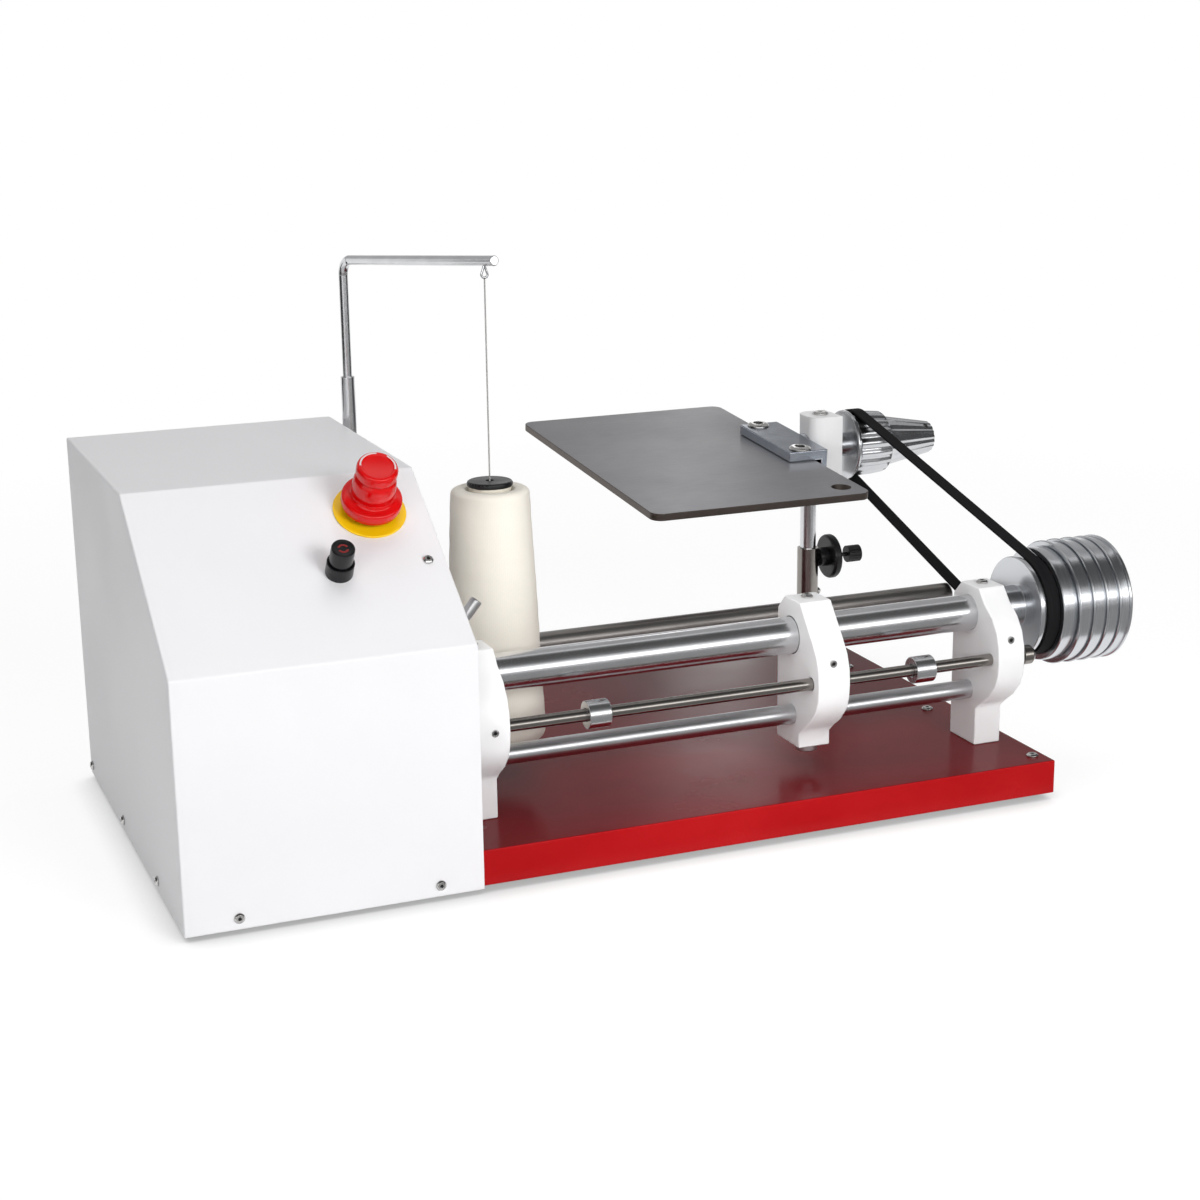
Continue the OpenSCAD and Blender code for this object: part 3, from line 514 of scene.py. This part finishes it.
def refine(node, look, width, second=None, pick=None, adjust=None):
    """Copy of a node with rounded edges, in its place.

    The width of the rounding is in millimetres, and less where a face beside the edge is narrow.
    Faces for which pick gives 1 get the second look. adjust may change the mesh before it is rounded."""
    width = width * MM
    shortest = SHORTEST.get(node, 0) * MM
    builder = bmesh.new()
    builder.from_mesh(frame["nodes"][node].data)
    bmesh.ops.remove_doubles(builder, verts=builder.verts, dist=JOIN_DISTANCE)
    bmesh.ops.dissolve_limit(builder, angle_limit=FLAT_ANGLE, verts=builder.verts, edges=builder.edges)
    if adjust:
        adjust(builder)
    if node in SPLIT:
        many = [face for face in builder.faces if len(face.verts) > MANY_CORNERS]
        bmesh.ops.triangulate(builder, faces=many, quad_method="BEAUTY", ngon_method="BEAUTY")
    weight = builder.edges.layers.float.new("bevel_weight_edge")
    for face in builder.faces:
        face.smooth = True
        if pick:
            face.material_index = pick(face)
    for edge in builder.edges:
        if len(edge.link_faces) != 2:
            continue
        sharp = edge.calc_face_angle(0) > SHARP_ANGLE
        if sharp and edge.is_convex and edge.calc_length() >= shortest:
            room = min(face_width(face, edge) for face in edge.link_faces)
            edge[weight] = min(1.0, EDGE_SHARE * room / width)
        edge.smooth = not sharp or edge[weight] > SMOOTH_WEIGHT
    obj = object_of(node + "_finish", builder, node, look)
    if second:
        obj.data.materials.append(LOOK[second])
    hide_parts(node)
    bevel = obj.modifiers.new("edges", "BEVEL")
    bevel.width = width
    bevel.segments = EDGE_STEPS
    bevel.limit_method = "WEIGHT"
    bevel.use_clamp_overlap = False
    even = obj.modifiers.new("normals", "WEIGHTED_NORMAL")
    even.keep_sharp = True


def rounded(points, steps=5):
    """Profile with its corners rounded; each point is (radius, height, corner radius) in millimetres."""
    made = []
    for i, (r, h, corner) in enumerate(points):
        here = Vector((r, h))
        if corner == 0 or i in (0, len(points) - 1):
            made.append(here)
            continue
        before = Vector(points[i - 1][:2]) - here
        after = Vector(points[i + 1][:2]) - here
        cut = min(corner, before.length * 0.49, after.length * 0.49)
        start = here + before.normalized() * cut
        end = here + after.normalized() * cut
        for k in range(steps + 1):
            t = k / steps
            made.append(start * (1 - t) ** 2 + here * 2 * t * (1 - t) + end * t ** 2)
    return made


def finer(points, length):
    """Profile with points added along its straight parts, each about length apart, in millimetres."""
    made = []
    for a, b in zip(points, points[1:]):
        count = max(1, int((b - a).length / length))
        made += [a.lerp(b, k / count) for k in range(count)]
    made.append(points[-1])
    return made


def frame_along(axis, origin):
    """Matrix whose Z axis points along axis."""
    turn = Vector(axis).to_track_quat("Z", "Y").to_matrix().to_4x4()
    return Matrix.Translation(origin) @ turn


def polar(radius, height, angle):
    """Point about the Z axis in metres, from millimetres and radians."""
    return radius * MM * math.cos(angle), radius * MM * math.sin(angle), height * MM


def lathe(name, node, profile, origin, axis, look, segments, shape=None):
    """Turned piece in place of a node.

    The profile is in millimetres. shape may move each of its points by radius, height and angle."""
    builder = bmesh.new()
    rings = []
    for r, h in profile:
        if r < ON_AXIS:
            rings.append([builder.verts.new((0, 0, h * MM))])
            continue
        ring = []
        for k in range(segments):
            angle = TURN * k / segments
            radius, height = shape(r, h, angle) if shape else (r, h)
            ring.append(builder.verts.new(polar(radius, height, angle)))
        rings.append(ring)
    for low, high in zip(rings, rings[1:]):
        for k in range(segments):
            n = (k + 1) % segments
            corners = [low[k % len(low)], low[n % len(low)], high[n % len(high)], high[k % len(high)]]
            corners = list(dict.fromkeys(corners))
            if len(corners) > 2:
                builder.faces.new(corners)
    for face in builder.faces:
        face.smooth = True
    bmesh.ops.recalc_face_normals(builder, faces=builder.faces)
    for edge in builder.edges:
        if len(edge.link_faces) == 2 and edge.calc_face_angle(0) > SHARP_TURNED_ANGLE:
            edge.smooth = False
    builder.transform(frame_along(axis, origin))
    obj = object_of(name, builder, node, look)
    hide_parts(node)
    return obj


def arc_bar(builder, r0, r1, h0, h1, start, end, steps=12):
    """Curved bar of rectangular section about the Z axis, in millimetres and degrees."""
    start = math.radians(start)
    end = math.radians(end)
    corners = [(r0, h0), (r1, h0), (r1, h1), (r0, h1)]
    sections = []
    for k in range(steps + 1):
        angle = start + (end - start) * k / steps
        sections.append([builder.verts.new(polar(r, h, angle)) for r, h in corners])
    for a, b in zip(sections, sections[1:]):
        for k in range(4):
            builder.faces.new([a[k], a[(k + 1) % 4], b[(k + 1) % 4], b[k]])
    builder.faces.new(sections[0])
    builder.faces.new(sections[-1][::-1])
    bmesh.ops.recalc_face_normals(builder, faces=builder.faces)


def round_wire(name, node, points, radius, resolution, look):
    """Round wire through points, in place of a node."""
    curve = bpy.data.curves.new(name, "CURVE")
    curve.dimensions = "3D"
    curve.bevel_depth = radius
    curve.bevel_resolution = resolution
    curve.use_fill_caps = True
    line = curve.splines.new("POLY")
    line.points.add(len(points) - 1)
    for point, where in zip(line.points, points):
        point.co = (*where, 1)
    obj = new_object(name, curve)
    curve.materials.append(LOOK[look])
    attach(obj, BODY_OF[node])
    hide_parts(node)
    return obj


# Thread from inside the yarn tube to the eye

THREAD_LOW, THREAD_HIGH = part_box("thread")
THREAD_D = THREAD_HIGH.x - THREAD_LOW.x
THREAD_L = THREAD_HIGH.z - THREAD_LOW.z
THREAD_POINTS = 24


def make_thread():
    x, y = middle("thread").xy
    points = [(x, y, THREAD_LOW.z + THREAD_L * i / (THREAD_POINTS - 1)) for i in range(THREAD_POINTS)]
    obj = round_wire("yarn_end", "thread", points, THREAD_D / 2, 5, "thread")


make_thread()


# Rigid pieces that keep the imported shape, with rounded edges: look and edge radius in millimetres

REFINED = {
    "hood": ("coat", 1.6), "rear_panel": ("coat", 0.4), "bottom_plate": ("drawn", 0.4),
    "rubber_feet": ("rubber", 0.8), "power_inlet": ("black", 0.6), "left_bracket": ("plastic", 1.2),
    "right_bracket": ("plastic", 1.2), "shaft_bushes": ("plastic", 0.3), "guide_rod": ("ground", 0.8),
    "rear_rail": ("dull", 0.6), "rail_pedestal": ("plastic", 1.0), "motor": ("black", 1.0),
    "motor_mount": ("drawn", 0.5), "control_box": ("zinc", 1.0), "estop_ring": ("yellow_ring", 1.5),
    "estop_collar": ("black", 0.4), "estop_stem": ("black", 0.4), "contact_blocks": ("black", 0.6),
    "cone_stand": ("polished", 0.6), "post_sleeve": ("drawn", 0.6), "guide_post": ("polished", 0.5),
    "guide_pin": ("satin", 1.2), "main_shaft": ("polished", 1.0), "shaft_coupling": ("drawn", 0.6),
    "motor_shaft": ("polished", 0.4), "carriage": ("plastic", 1.2), "rolling_rings": ("drawn", 0.3),
    "carriage_bush": ("plastic", 0.3), "carriage_foot": ("satin", 0.8), "shift_rod": ("drawn", 0.6),
    "collar_left": ("polished", 0.8), "collar_right": ("polished", 0.8), "post_rod": ("polished", 0.6),
    "bearing_block": ("plastic", 0.8), "spindle_bearings": ("screw", 0.4), "spindle": ("polished", 0.5),
    "belt": ("belt", 0.35), "guide_arm": ("polished", 0.7), "cone_tube": ("card", 0.4),
    "thumb_screw": ("black", 0.25), "post_knob": ("black", 1.2), "button_bezel": ("black", 0.5),
    "cone_cap": ("black", 0.5),
}
for node, (look, width) in REFINED.items():
    refine(node, look, width)
# Faces in the screws' sockets get the near black look, painted shade
for node in ("hood_screws", "bracket_screws", "carriage_screws", "post_screws", "base_screws", "block_screw"):
    refine(node, "screw", 0.35, "painted_shade_recess", painted_shade_in_recess)
# The tray's top faces get the darker red, painted shade on the same paint
refine("base_tray", "red", 1.2, "red_painted_shade_top", painted_shade_on_top)


# Board with its countersunk hole, clamp, and the clamp's screws; lengths in millimetres

BOARD_TILT = math.radians(4.5)
BOARD_UP = Vector((0, -math.sin(BOARD_TILT), math.cos(BOARD_TILT)))
HOLE_EDGE = 0.9
HOLE_EDGE_ANGLE = 1
SINK = 1.8
CLAMP_TOP = 13
SCREW_INSET = 10
PAINTED_SHADE_SOCKET_R = 4.5
PAINTED_SHADE_SOCKET_FLOOR = 1.0


def on_rim(face):
    """1 for a face on the rim of the board or in its hole."""
    return int(abs(face.normal.dot(BOARD_UP)) < 0.75)


def countersink(builder):
    """Widens the upper rim of the board's hole."""
    short = [e for e in builder.edges if e.calc_length() < HOLE_EDGE * MM]
    rim = list(dict.fromkeys(v for e in short if e.calc_face_angle(0) > HOLE_EDGE_ANGLE for v in e.verts))
    middle_height = sum(v.co.dot(BOARD_UP) for v in rim) / len(rim)
    upper = [v for v in rim if v.co.dot(BOARD_UP) > middle_height]
    centre = sum((v.co for v in upper), Vector()) / len(upper)
    for v in upper:
        v.co = centre + (v.co - centre) * SINK
    builder.normal_update()


def make_clamp_screws():
    """Two wide button heads on the clamp, with painted shade in their sockets."""
    low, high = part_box("board_clamp")
    span = (high.y - low.y) / 2 - SCREW_INSET * MM
    along = Vector((0, math.cos(BOARD_TILT), math.sin(BOARD_TILT)))
    centre = Vector((middle("clamp_screws").x, SPINDLE.y, SPINDLE.z))
    profile = rounded([
        (0, -9, 0), (3, -9, 0), (3, 0, 0), (10.2, 0, 0.2), (10.2, 1.2, 0.8), (8.2, 2.6, 1.6),
        (5.4, 3.0, 0.4), (4.6, 2.8, 0.2), (4.2, 1.2, 0), (0, 1.2, 0),
    ])
    for i, side in enumerate((-1, 1)):
        seat = centre + along * side * span + BOARD_UP * CLAMP_TOP * MM
        head = lathe(f"clamp_screw_{i}", "clamp_screws", profile, seat, BOARD_UP, "screw", 48)
        # Second look, near black, for the faces inside the socket: painted shade
        head.data.materials.append(LOOK["painted_shade_recess"])
        for face in head.data.polygons:
            offset = face.center - seat
            height = offset.dot(BOARD_UP)
            if height > PAINTED_SHADE_SOCKET_FLOOR * MM and (offset - BOARD_UP * height).length < PAINTED_SHADE_SOCKET_R * MM:
                face.material_index = 1


# The clamp's top faces get the darker zinc, painted shade
refine("board_clamp", "zinc", 1.4, "zinc_painted_shade_top", painted_shade_on_top)
refine("board", "board", 0.6, "board_edge", on_rim, adjust=countersink)
make_clamp_screws()


# Pulleys; lengths in millimetres, angles in degrees

FLUTES = 18
FLUTE_STEPS = 16
DRUM_FROM = 14.35
DRUM_TO = 47.4
DRUM_INNER_R = 26
DRUM_FLUTE = 1.7
CONE_FROM = 47.6
CONE_INNER_R = 10
CONE_FLUTE = 0.75
SLOT_ANGLE = 128
SLOT_HALF = 8
BORE_R = 15.05
DRIVE_R = 40.5
FLANGE_W = 4
GROOVE_W = 14
STEP_W = 12.9
STEP_RISE = (7.5, 10.4, 10.8, 10.8, 10.5)
LIP = 1.5
CUT = 2.2


def fluted(r, h, angle):
    """Moves a point of the small pulley's profile into a flute."""
    wave = 0.5 + 0.5 * math.cos(FLUTES * angle)
    if DRUM_FROM < h < DRUM_TO and r > DRUM_INNER_R:
        return r - DRUM_FLUTE * wave ** 1.3, h
    if h > CONE_FROM and r > CONE_INNER_R:
        return r - CONE_FLUTE * wave, h
    return r, h


def make_small_pulley():
    """Plain flange, fluted drum and slimmer fluted cone, with a near black bar on the cone that paints the shade
    of a slot.
    """
    origin = Vector((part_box("cone_pulley")[0].x, SPINDLE.y, SPINDLE.z))
    profile = rounded([
        (6.1, 0, 0), (11, 0, 0.6), (11, 9.5, 0), (32, 9.5, 0.6), (32.5, 10.6, 0.4), (32.5, 12.4, 0.4),
        (31.5, 13, 0.3), (29.2, 13.1, 0), (29.2, 14.3, 0), (30.5, 14.4, 0.3), (30.5, 33.5, 3),
        (29, 46.8, 0.8), (28.4, 47.5, 0.3), (24.5, 47.5, 0), (14.9, 100.2, 1), (13.4, 101.5, 0.4),
        (0, 101.5, 0),
    ])
    lathe("small_pulley", "cone_pulley", finer(profile, 4), origin, (1, 0, 0), "small_pulley",
          FLUTES * FLUTE_STEPS, fluted)
    # Near black bar on the cone's surface where the slot is: painted shade
    slot = bmesh.new()
    arc_bar(slot, 14.6, 16.5, 91.6, 94.6, -SLOT_HALF, SLOT_HALF)
    slot.transform(frame_along((1, 0, 0), origin) @ Matrix.Rotation(math.radians(SLOT_ANGLE), 4, "Z"))
    object_of("pulley_slot_painted_shade", slot, "cone_pulley", "painted_shade_recess")


def make_large_pulley():
    """Belt groove behind a flange, then steps, each with a lip and a narrow cut before the next one."""
    low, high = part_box("step_pulley")
    end = (high.x - low.x) / MM
    step = end - len(STEP_RISE) * STEP_W
    flange = step - GROOVE_W - FLANGE_W
    points = [
        (BORE_R, 0, 0), (18, 0, 0.8), (18, flange, 0.6), (DRIVE_R + LIP, flange, 1.3),
        (DRIVE_R + LIP, flange + 3.8, 0.6), (DRIVE_R, flange + FLANGE_W, 0), (DRIVE_R, step, 0),
    ]
    last = len(STEP_RISE) - 1
    for i, rise in enumerate(STEP_RISE):
        here = step + i * STEP_W
        r = DRIVE_R + rise
        if i == 0:
            points += [(r - 0.9, here, 0.1), (r, here + 0.9, 0.3)]
        else:
            points += [
                (r + 0.6, here, 0.1), (r + LIP, here + 0.7, 0.2), (r + LIP, here + 2.1, 0.4),
                (r, here + 2.5, 0.3),
            ]
        if i < last:
            points += [
                (r, here + STEP_W - 1.7, 0.2), (r - CUT, here + STEP_W - 1.3, 0.2),
                (r - CUT, here + STEP_W, 0),
            ]
    r = DRIVE_R + STEP_RISE[last]
    points += [
        (r, end - 3.4, 0.3), (r + LIP, end - 3.1, 0.3), (r + LIP, end - 1, 0.5), (r + 0.5, end, 0.3),
        (38, end, 0.4), (37.4, end - 1, 0.3), (23.6, end - 1, 0.3), (23, end, 0.4), (BORE_R, end, 0),
    ]
    origin = Vector((low.x, SHAFT.y, SHAFT.z))
    lathe("large_pulley", "step_pulley", rounded(points, 4), origin, (1, 0, 0), "big_pulley", 128)


make_small_pulley()
make_large_pulley()


# Emergency stop, button and thread eye; lengths in millimetres, angles in degrees

BUTTON_FOOT = 15.9
EYE_WIRE_R = 0.95
EYE_START = 150
EYE_SWEEP = 240
EYE_STEPS = 28


def make_marks(name, node, look, origin, radii, heights, arcs):
    """Thin arcs on the outer end of a control on the panel."""
    marks = bmesh.new()
    for start, end in arcs:
        arc_bar(marks, *radii, *heights, start, end)
    marks.transform(frame_along(PANEL_OUT, origin))
    object_of(name, marks, node, look)


def make_stop_head():
    """Red head with a skirt, a swelling grip and a recessed top, and the turning marks on its rim."""
    profile = rounded([
        (0, 30.3, 0), (5.05, 30.3, 0), (5.05, 12, 0), (20, 12, 0.3), (20, 7.6, 0.3), (22.1, 7.5, 0.8),
        (22.4, 10.2, 0.3), (23, 10.8, 0.4), (23, 16.4, 1.9), (20.2, 17.7, 1.2), (17.4, 18.3, 0.8),
        (15.9, 20.5, 1.2), (16.7, 28.5, 5), (15.9, 35.6, 2), (13.6, 38.5, 0.6), (13.6, 39.7, 0.4),
        (15.6, 40.7, 0.5), (15.7, 46.2, 1.6), (14.5, 48.8, 1.2), (11.9, 48.8, 0.3), (11.5, 48.1, 0.3),
        (0, 48.1, 0),
    ])
    lathe("stop_head", "estop_head", profile, STOP, PANEL_OUT, "red_head", 96)
    make_marks("stop_marks", "estop_head", "mark_white", STOP,
               (12.4, 13.6), (48.72, 48.95), ((-22, 44), (80, 170)))


def make_button():
    """Glossy cap with a rounded rim and two red arcs on its recessed top."""
    foot = BUTTON - PANEL_OUT * BUTTON_FOOT * MM
    profile = rounded([
        (0, 6, 0), (8.9, 6, 0.3), (8.9, 24.2, 1.0), (8.7, 26.8, 1.3), (7.4, 26.9, 0.5), (7.0, 26.2, 0.3),
        (0, 26.2, 0),
    ])
    lathe("button_top", "button_cap", profile, foot, PANEL_OUT, "glossy_black", 64)
    make_marks("button_marks", "button_cap", "mark_red", foot,
               (2.6, 4.2), (26.15, 26.3), ((20, 160), (200, 340)))


def make_eye():
    """Pear-shaped wire loop under the arm."""
    low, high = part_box("thread_eye")
    wire_r = EYE_WIRE_R * MM
    loop_r = (high.x - low.x) / 2 - wire_r
    x, y = middle("thread_eye").xy
    centre = low.z + wire_r + loop_r
    top = high.z + 0.2 * MM
    neck = top - 1.6 * MM
    path = [(x - 0.4 * MM, y, top), (x - 0.9 * MM, y, neck)]
    for k in range(EYE_STEPS + 1):
        angle = math.radians(EYE_START + EYE_SWEEP * k / EYE_STEPS)
        path.append((x + loop_r * math.cos(angle), y, centre + loop_r * math.sin(angle)))
    path += [(x + 0.9 * MM, y, neck), (x + 0.4 * MM, y, top)]
    round_wire("eye_loop", "thread_eye", path, wire_r, 4, "polished")


make_stop_head()
make_button()
make_eye()


# Yarn package; lengths in millimetres

PACKAGE_TAPER = 9
TUBE_GAP = 0.2


def make_package():
    """Package with rounded ends, a hollow at the top and a slightly uneven flank."""
    low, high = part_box("yarn_cone")
    base = Vector((PACKAGE.x, PACKAGE.y, low.z))
    tall = (high.z - low.z) / MM
    wide = (high.x - low.x) / 2 / MM
    narrow = wide - PACKAGE_TAPER
    hole = (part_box("cone_tube")[1].x - PACKAGE.x) / MM + TUBE_GAP
    profile = rounded([
        (hole, 0, 0), (wide - 2, 0, 5), (wide, 7, 5), (narrow, tall - 2.4, 2.6), (narrow - 3.4, tall, 2.4),
        (hole + 3, tall - 0.4, 1.2), (hole + 1.6, tall - 4, 0.6), (hole, tall - 6, 0),
    ], 6)

    def uneven(r, h, angle):
        swell = 0.18 * math.sin(3 * angle + h * 0.05) + 0.12 * math.sin(h * 0.31 + 2 * angle)
        return (r + swell if r > hole + 4 else r), h

    lathe("yarn_package", "yarn_cone", finer(profile, 2), base, (0, 0, 1), "yarn", 128, uneven)


make_package()


# Floor, light and world

FLOOR_HALF = 30
# Distance from the middle over which the floor fades to plain white
FADE_START = 0.7
FADE_END = 1.5
# Reach of the painted shadow on the floor beside the object
PAINTED_SHADOW_REACH = 0.045
# Height of a card that lies just above the floor
GROUND = cad_low.z + 0.001

# Brightness of the studio from the front horizon (0) over the top (0.5) to the rear horizon (1)
STUDIO = [
    (0.0, 0.40), (0.03, 0.5), (0.06, 1.0), (0.17, 1.0), (0.225, 0.2), (0.33, 0.10), (0.49, 0.09),
    (0.535, 0.22), (0.548, 0.9), (0.575, 0.9), (0.59, 0.38), (0.8, 0.42), (0.9, 0.5), (0.96, 1.0),
]


def bare_material(name):
    """New material without a shader."""
    made = bpy.data.materials.new(name)
    made.use_nodes = True
    made.node_tree.nodes.remove(shader_of(made))
    return made


def show(made, output, shader):
    """Makes a shader the surface of a material or world."""
    set_input(made, made.node_tree.nodes[output].inputs["Surface"], shader.outputs[0])


def blend(made, share, first, second):
    """Mix of two shaders."""
    node = add(made, "ShaderNodeMixShader", Fac=share)
    set_input(made, node.inputs[1], first.outputs[0])
    set_input(made, node.inputs[2], second.outputs[0])
    return node


def ray_kinds(made):
    """Two values: 1 for camera rays, and 1 for glossy and transmission rays."""
    path = add(made, "ShaderNodeLightPath")
    mirrored = math_node(made, "MAXIMUM", path.outputs["Is Glossy Ray"], path.outputs["Is Transmission Ray"])
    return path.outputs["Is Camera Ray"], mirrored


def make_stage():
    """White floor that keeps the lamps' shadow, with a painted shadow beside the object, and fades to plain white
    further out.
    """
    made = bare_material("floor")
    lit = add(made, "ShaderNodeBsdfDiffuse", Color=(0.8, 0.8, 0.8, 1))
    shade = add(made, "ShaderNodeBsdfDiffuse", Color=(0.24, 0.24, 0.24, 1))
    # Ambient occlusion lowers the floor's glow beside the object: painted shadow
    corner = add(made, "ShaderNodeAmbientOcclusion", Distance=PAINTED_SHADOW_REACH)
    level = spread(made, corner.outputs["AO"], 0.35, 0.84, 0.2, 0.8)
    glow = add(made, "ShaderNodeEmission", Color=WHITE, Strength=level)
    near = add(made, "ShaderNodeAddShader")
    set_input(made, near.inputs[0], shade.outputs[0])
    set_input(made, near.inputs[1], glow.outputs[0])
    coordinates = add(made, "ShaderNodeTexCoord")
    far = add(made, "ShaderNodeVectorMath", operation="LENGTH")
    set_input(made, far.inputs[0], coordinates.outputs["Object"])
    white = add(made, "ShaderNodeEmission", Color=WHITE, Strength=1.0)
    faded = blend(made, spread(made, far.outputs["Value"], 0, 1, FADE_START, FADE_END), near, white)
    seen = math_node(made, "MAXIMUM", *ray_kinds(made))
    show(made, "Material Output", blend(made, seen, lit, faded))
    builder = bmesh.new()
    bmesh.ops.create_grid(builder, x_segments=1, y_segments=1, size=FLOOR_HALF)
    floor = mesh_object("floor", builder, made)
    floor.location.z = cad_low.z


def make_card(name, level, low, high):
    """Card from one corner to the other, flat in the axis where both agree, which only reflections see."""
    made = bare_material(name)
    show(made, "Material Output", add(made, "ShaderNodeEmission", Color=WHITE, Strength=level))
    flat = min(range(3), key=lambda axis: abs(high[axis] - low[axis]))
    a, b = [axis for axis in range(3) if axis != flat]
    builder = bmesh.new()
    corners = []
    for first, second in ((low, low), (high, low), (high, high), (low, high)):
        corner = list(low)
        corner[a] = first[a]
        corner[b] = second[b]
        corners.append(builder.verts.new(corner))
    builder.faces.new(corners)
    card = mesh_object(name, builder, made)
    card.visible_camera = False
    card.visible_diffuse = False
    card.visible_shadow = False
    card.visible_transmission = False


def make_world():
    """White for the camera; the STUDIO levels for reflections, and less bright for other light."""
    world = bpy.data.worlds.new("studio")
    scene.world = world
    world.use_nodes = True
    coordinates = add(world, "ShaderNodeTexCoord")
    parts = add(world, "ShaderNodeSeparateXYZ", Vector=coordinates.outputs["Generated"])
    front = math_node(world, "MULTIPLY", parts.outputs["Y"], -1.0)
    angle = math_node(world, "DIVIDE", math_node(world, "ARCTAN2", parts.outputs["Z"], front), math.pi)
    ramp = add(world, "ShaderNodeValToRGB", Fac=angle)
    while len(ramp.color_ramp.elements) < len(STUDIO):
        ramp.color_ramp.elements.new(0.5)
    for element, (position, level) in zip(ramp.color_ramp.elements, STUDIO):
        element.position = position
        element.color = (level, level, level, 1)
    camera, mirrored = ray_kinds(world)
    white = add(world, "ShaderNodeBackground", Color=WHITE, Strength=1.0)
    lit = world.node_tree.nodes["Background"]
    set_input(world, lit.inputs["Color"], ramp.outputs["Color"])
    set_input(world, lit.inputs["Strength"], spread(world, mirrored, 0.75, 1.0, 0, 1))
    show(world, "World Output", blend(world, camera, lit, white))


def area_light(name, place_m, aim_m, size, power):
    """Round lamp that neither the camera nor reflections see."""
    data = bpy.data.lights.new(name, "AREA")
    data.shape = "DISK"
    data.size = size
    data.energy = power
    lamp = new_object(name, data)
    lamp.location = place_m
    lamp.rotation_euler = (Vector(aim_m) - Vector(place_m)).to_track_quat("-Z", "Y").to_euler()
    lamp.visible_glossy = False
    lamp.visible_camera = False


make_stage()
make_world()
make_card("left_card", 0.05, (-1.0, -0.4, GROUND), (-1.0, 0.8, 0.8))
make_card("right_card", 0.05, (1.05, -0.9, GROUND), (1.05, 0.3, 0.8))
make_card("front_card", 0.30, (-1.6, -5.0, GROUND), (4.0, -0.29, GROUND))
make_card("front_box", 3.4, (-3.0, -3.0, 0.62), (5.0, -3.0, 1.35))
make_card("strip", 2.4, (1.27, 2.64, 0.3), (1.47, 2.64, 2.4))
area_light("key", (0.42, -2.2, 0.9), (0, -0.1, 0.15), 0.9, 24)
area_light("fill", (-1.3, -1.7, 0.7), (0.1, -0.1, 0.15), 1.0, 6)
area_light("top", (0, 0.0, 2.2), (0, 0, 0), 2.0, 15.5)
area_light("inner", (-0.12, -0.38, 0.3), (0.87, -0.2, 0.15), 0.3, 0.55)
scene.view_settings.view_transform = "Standard"
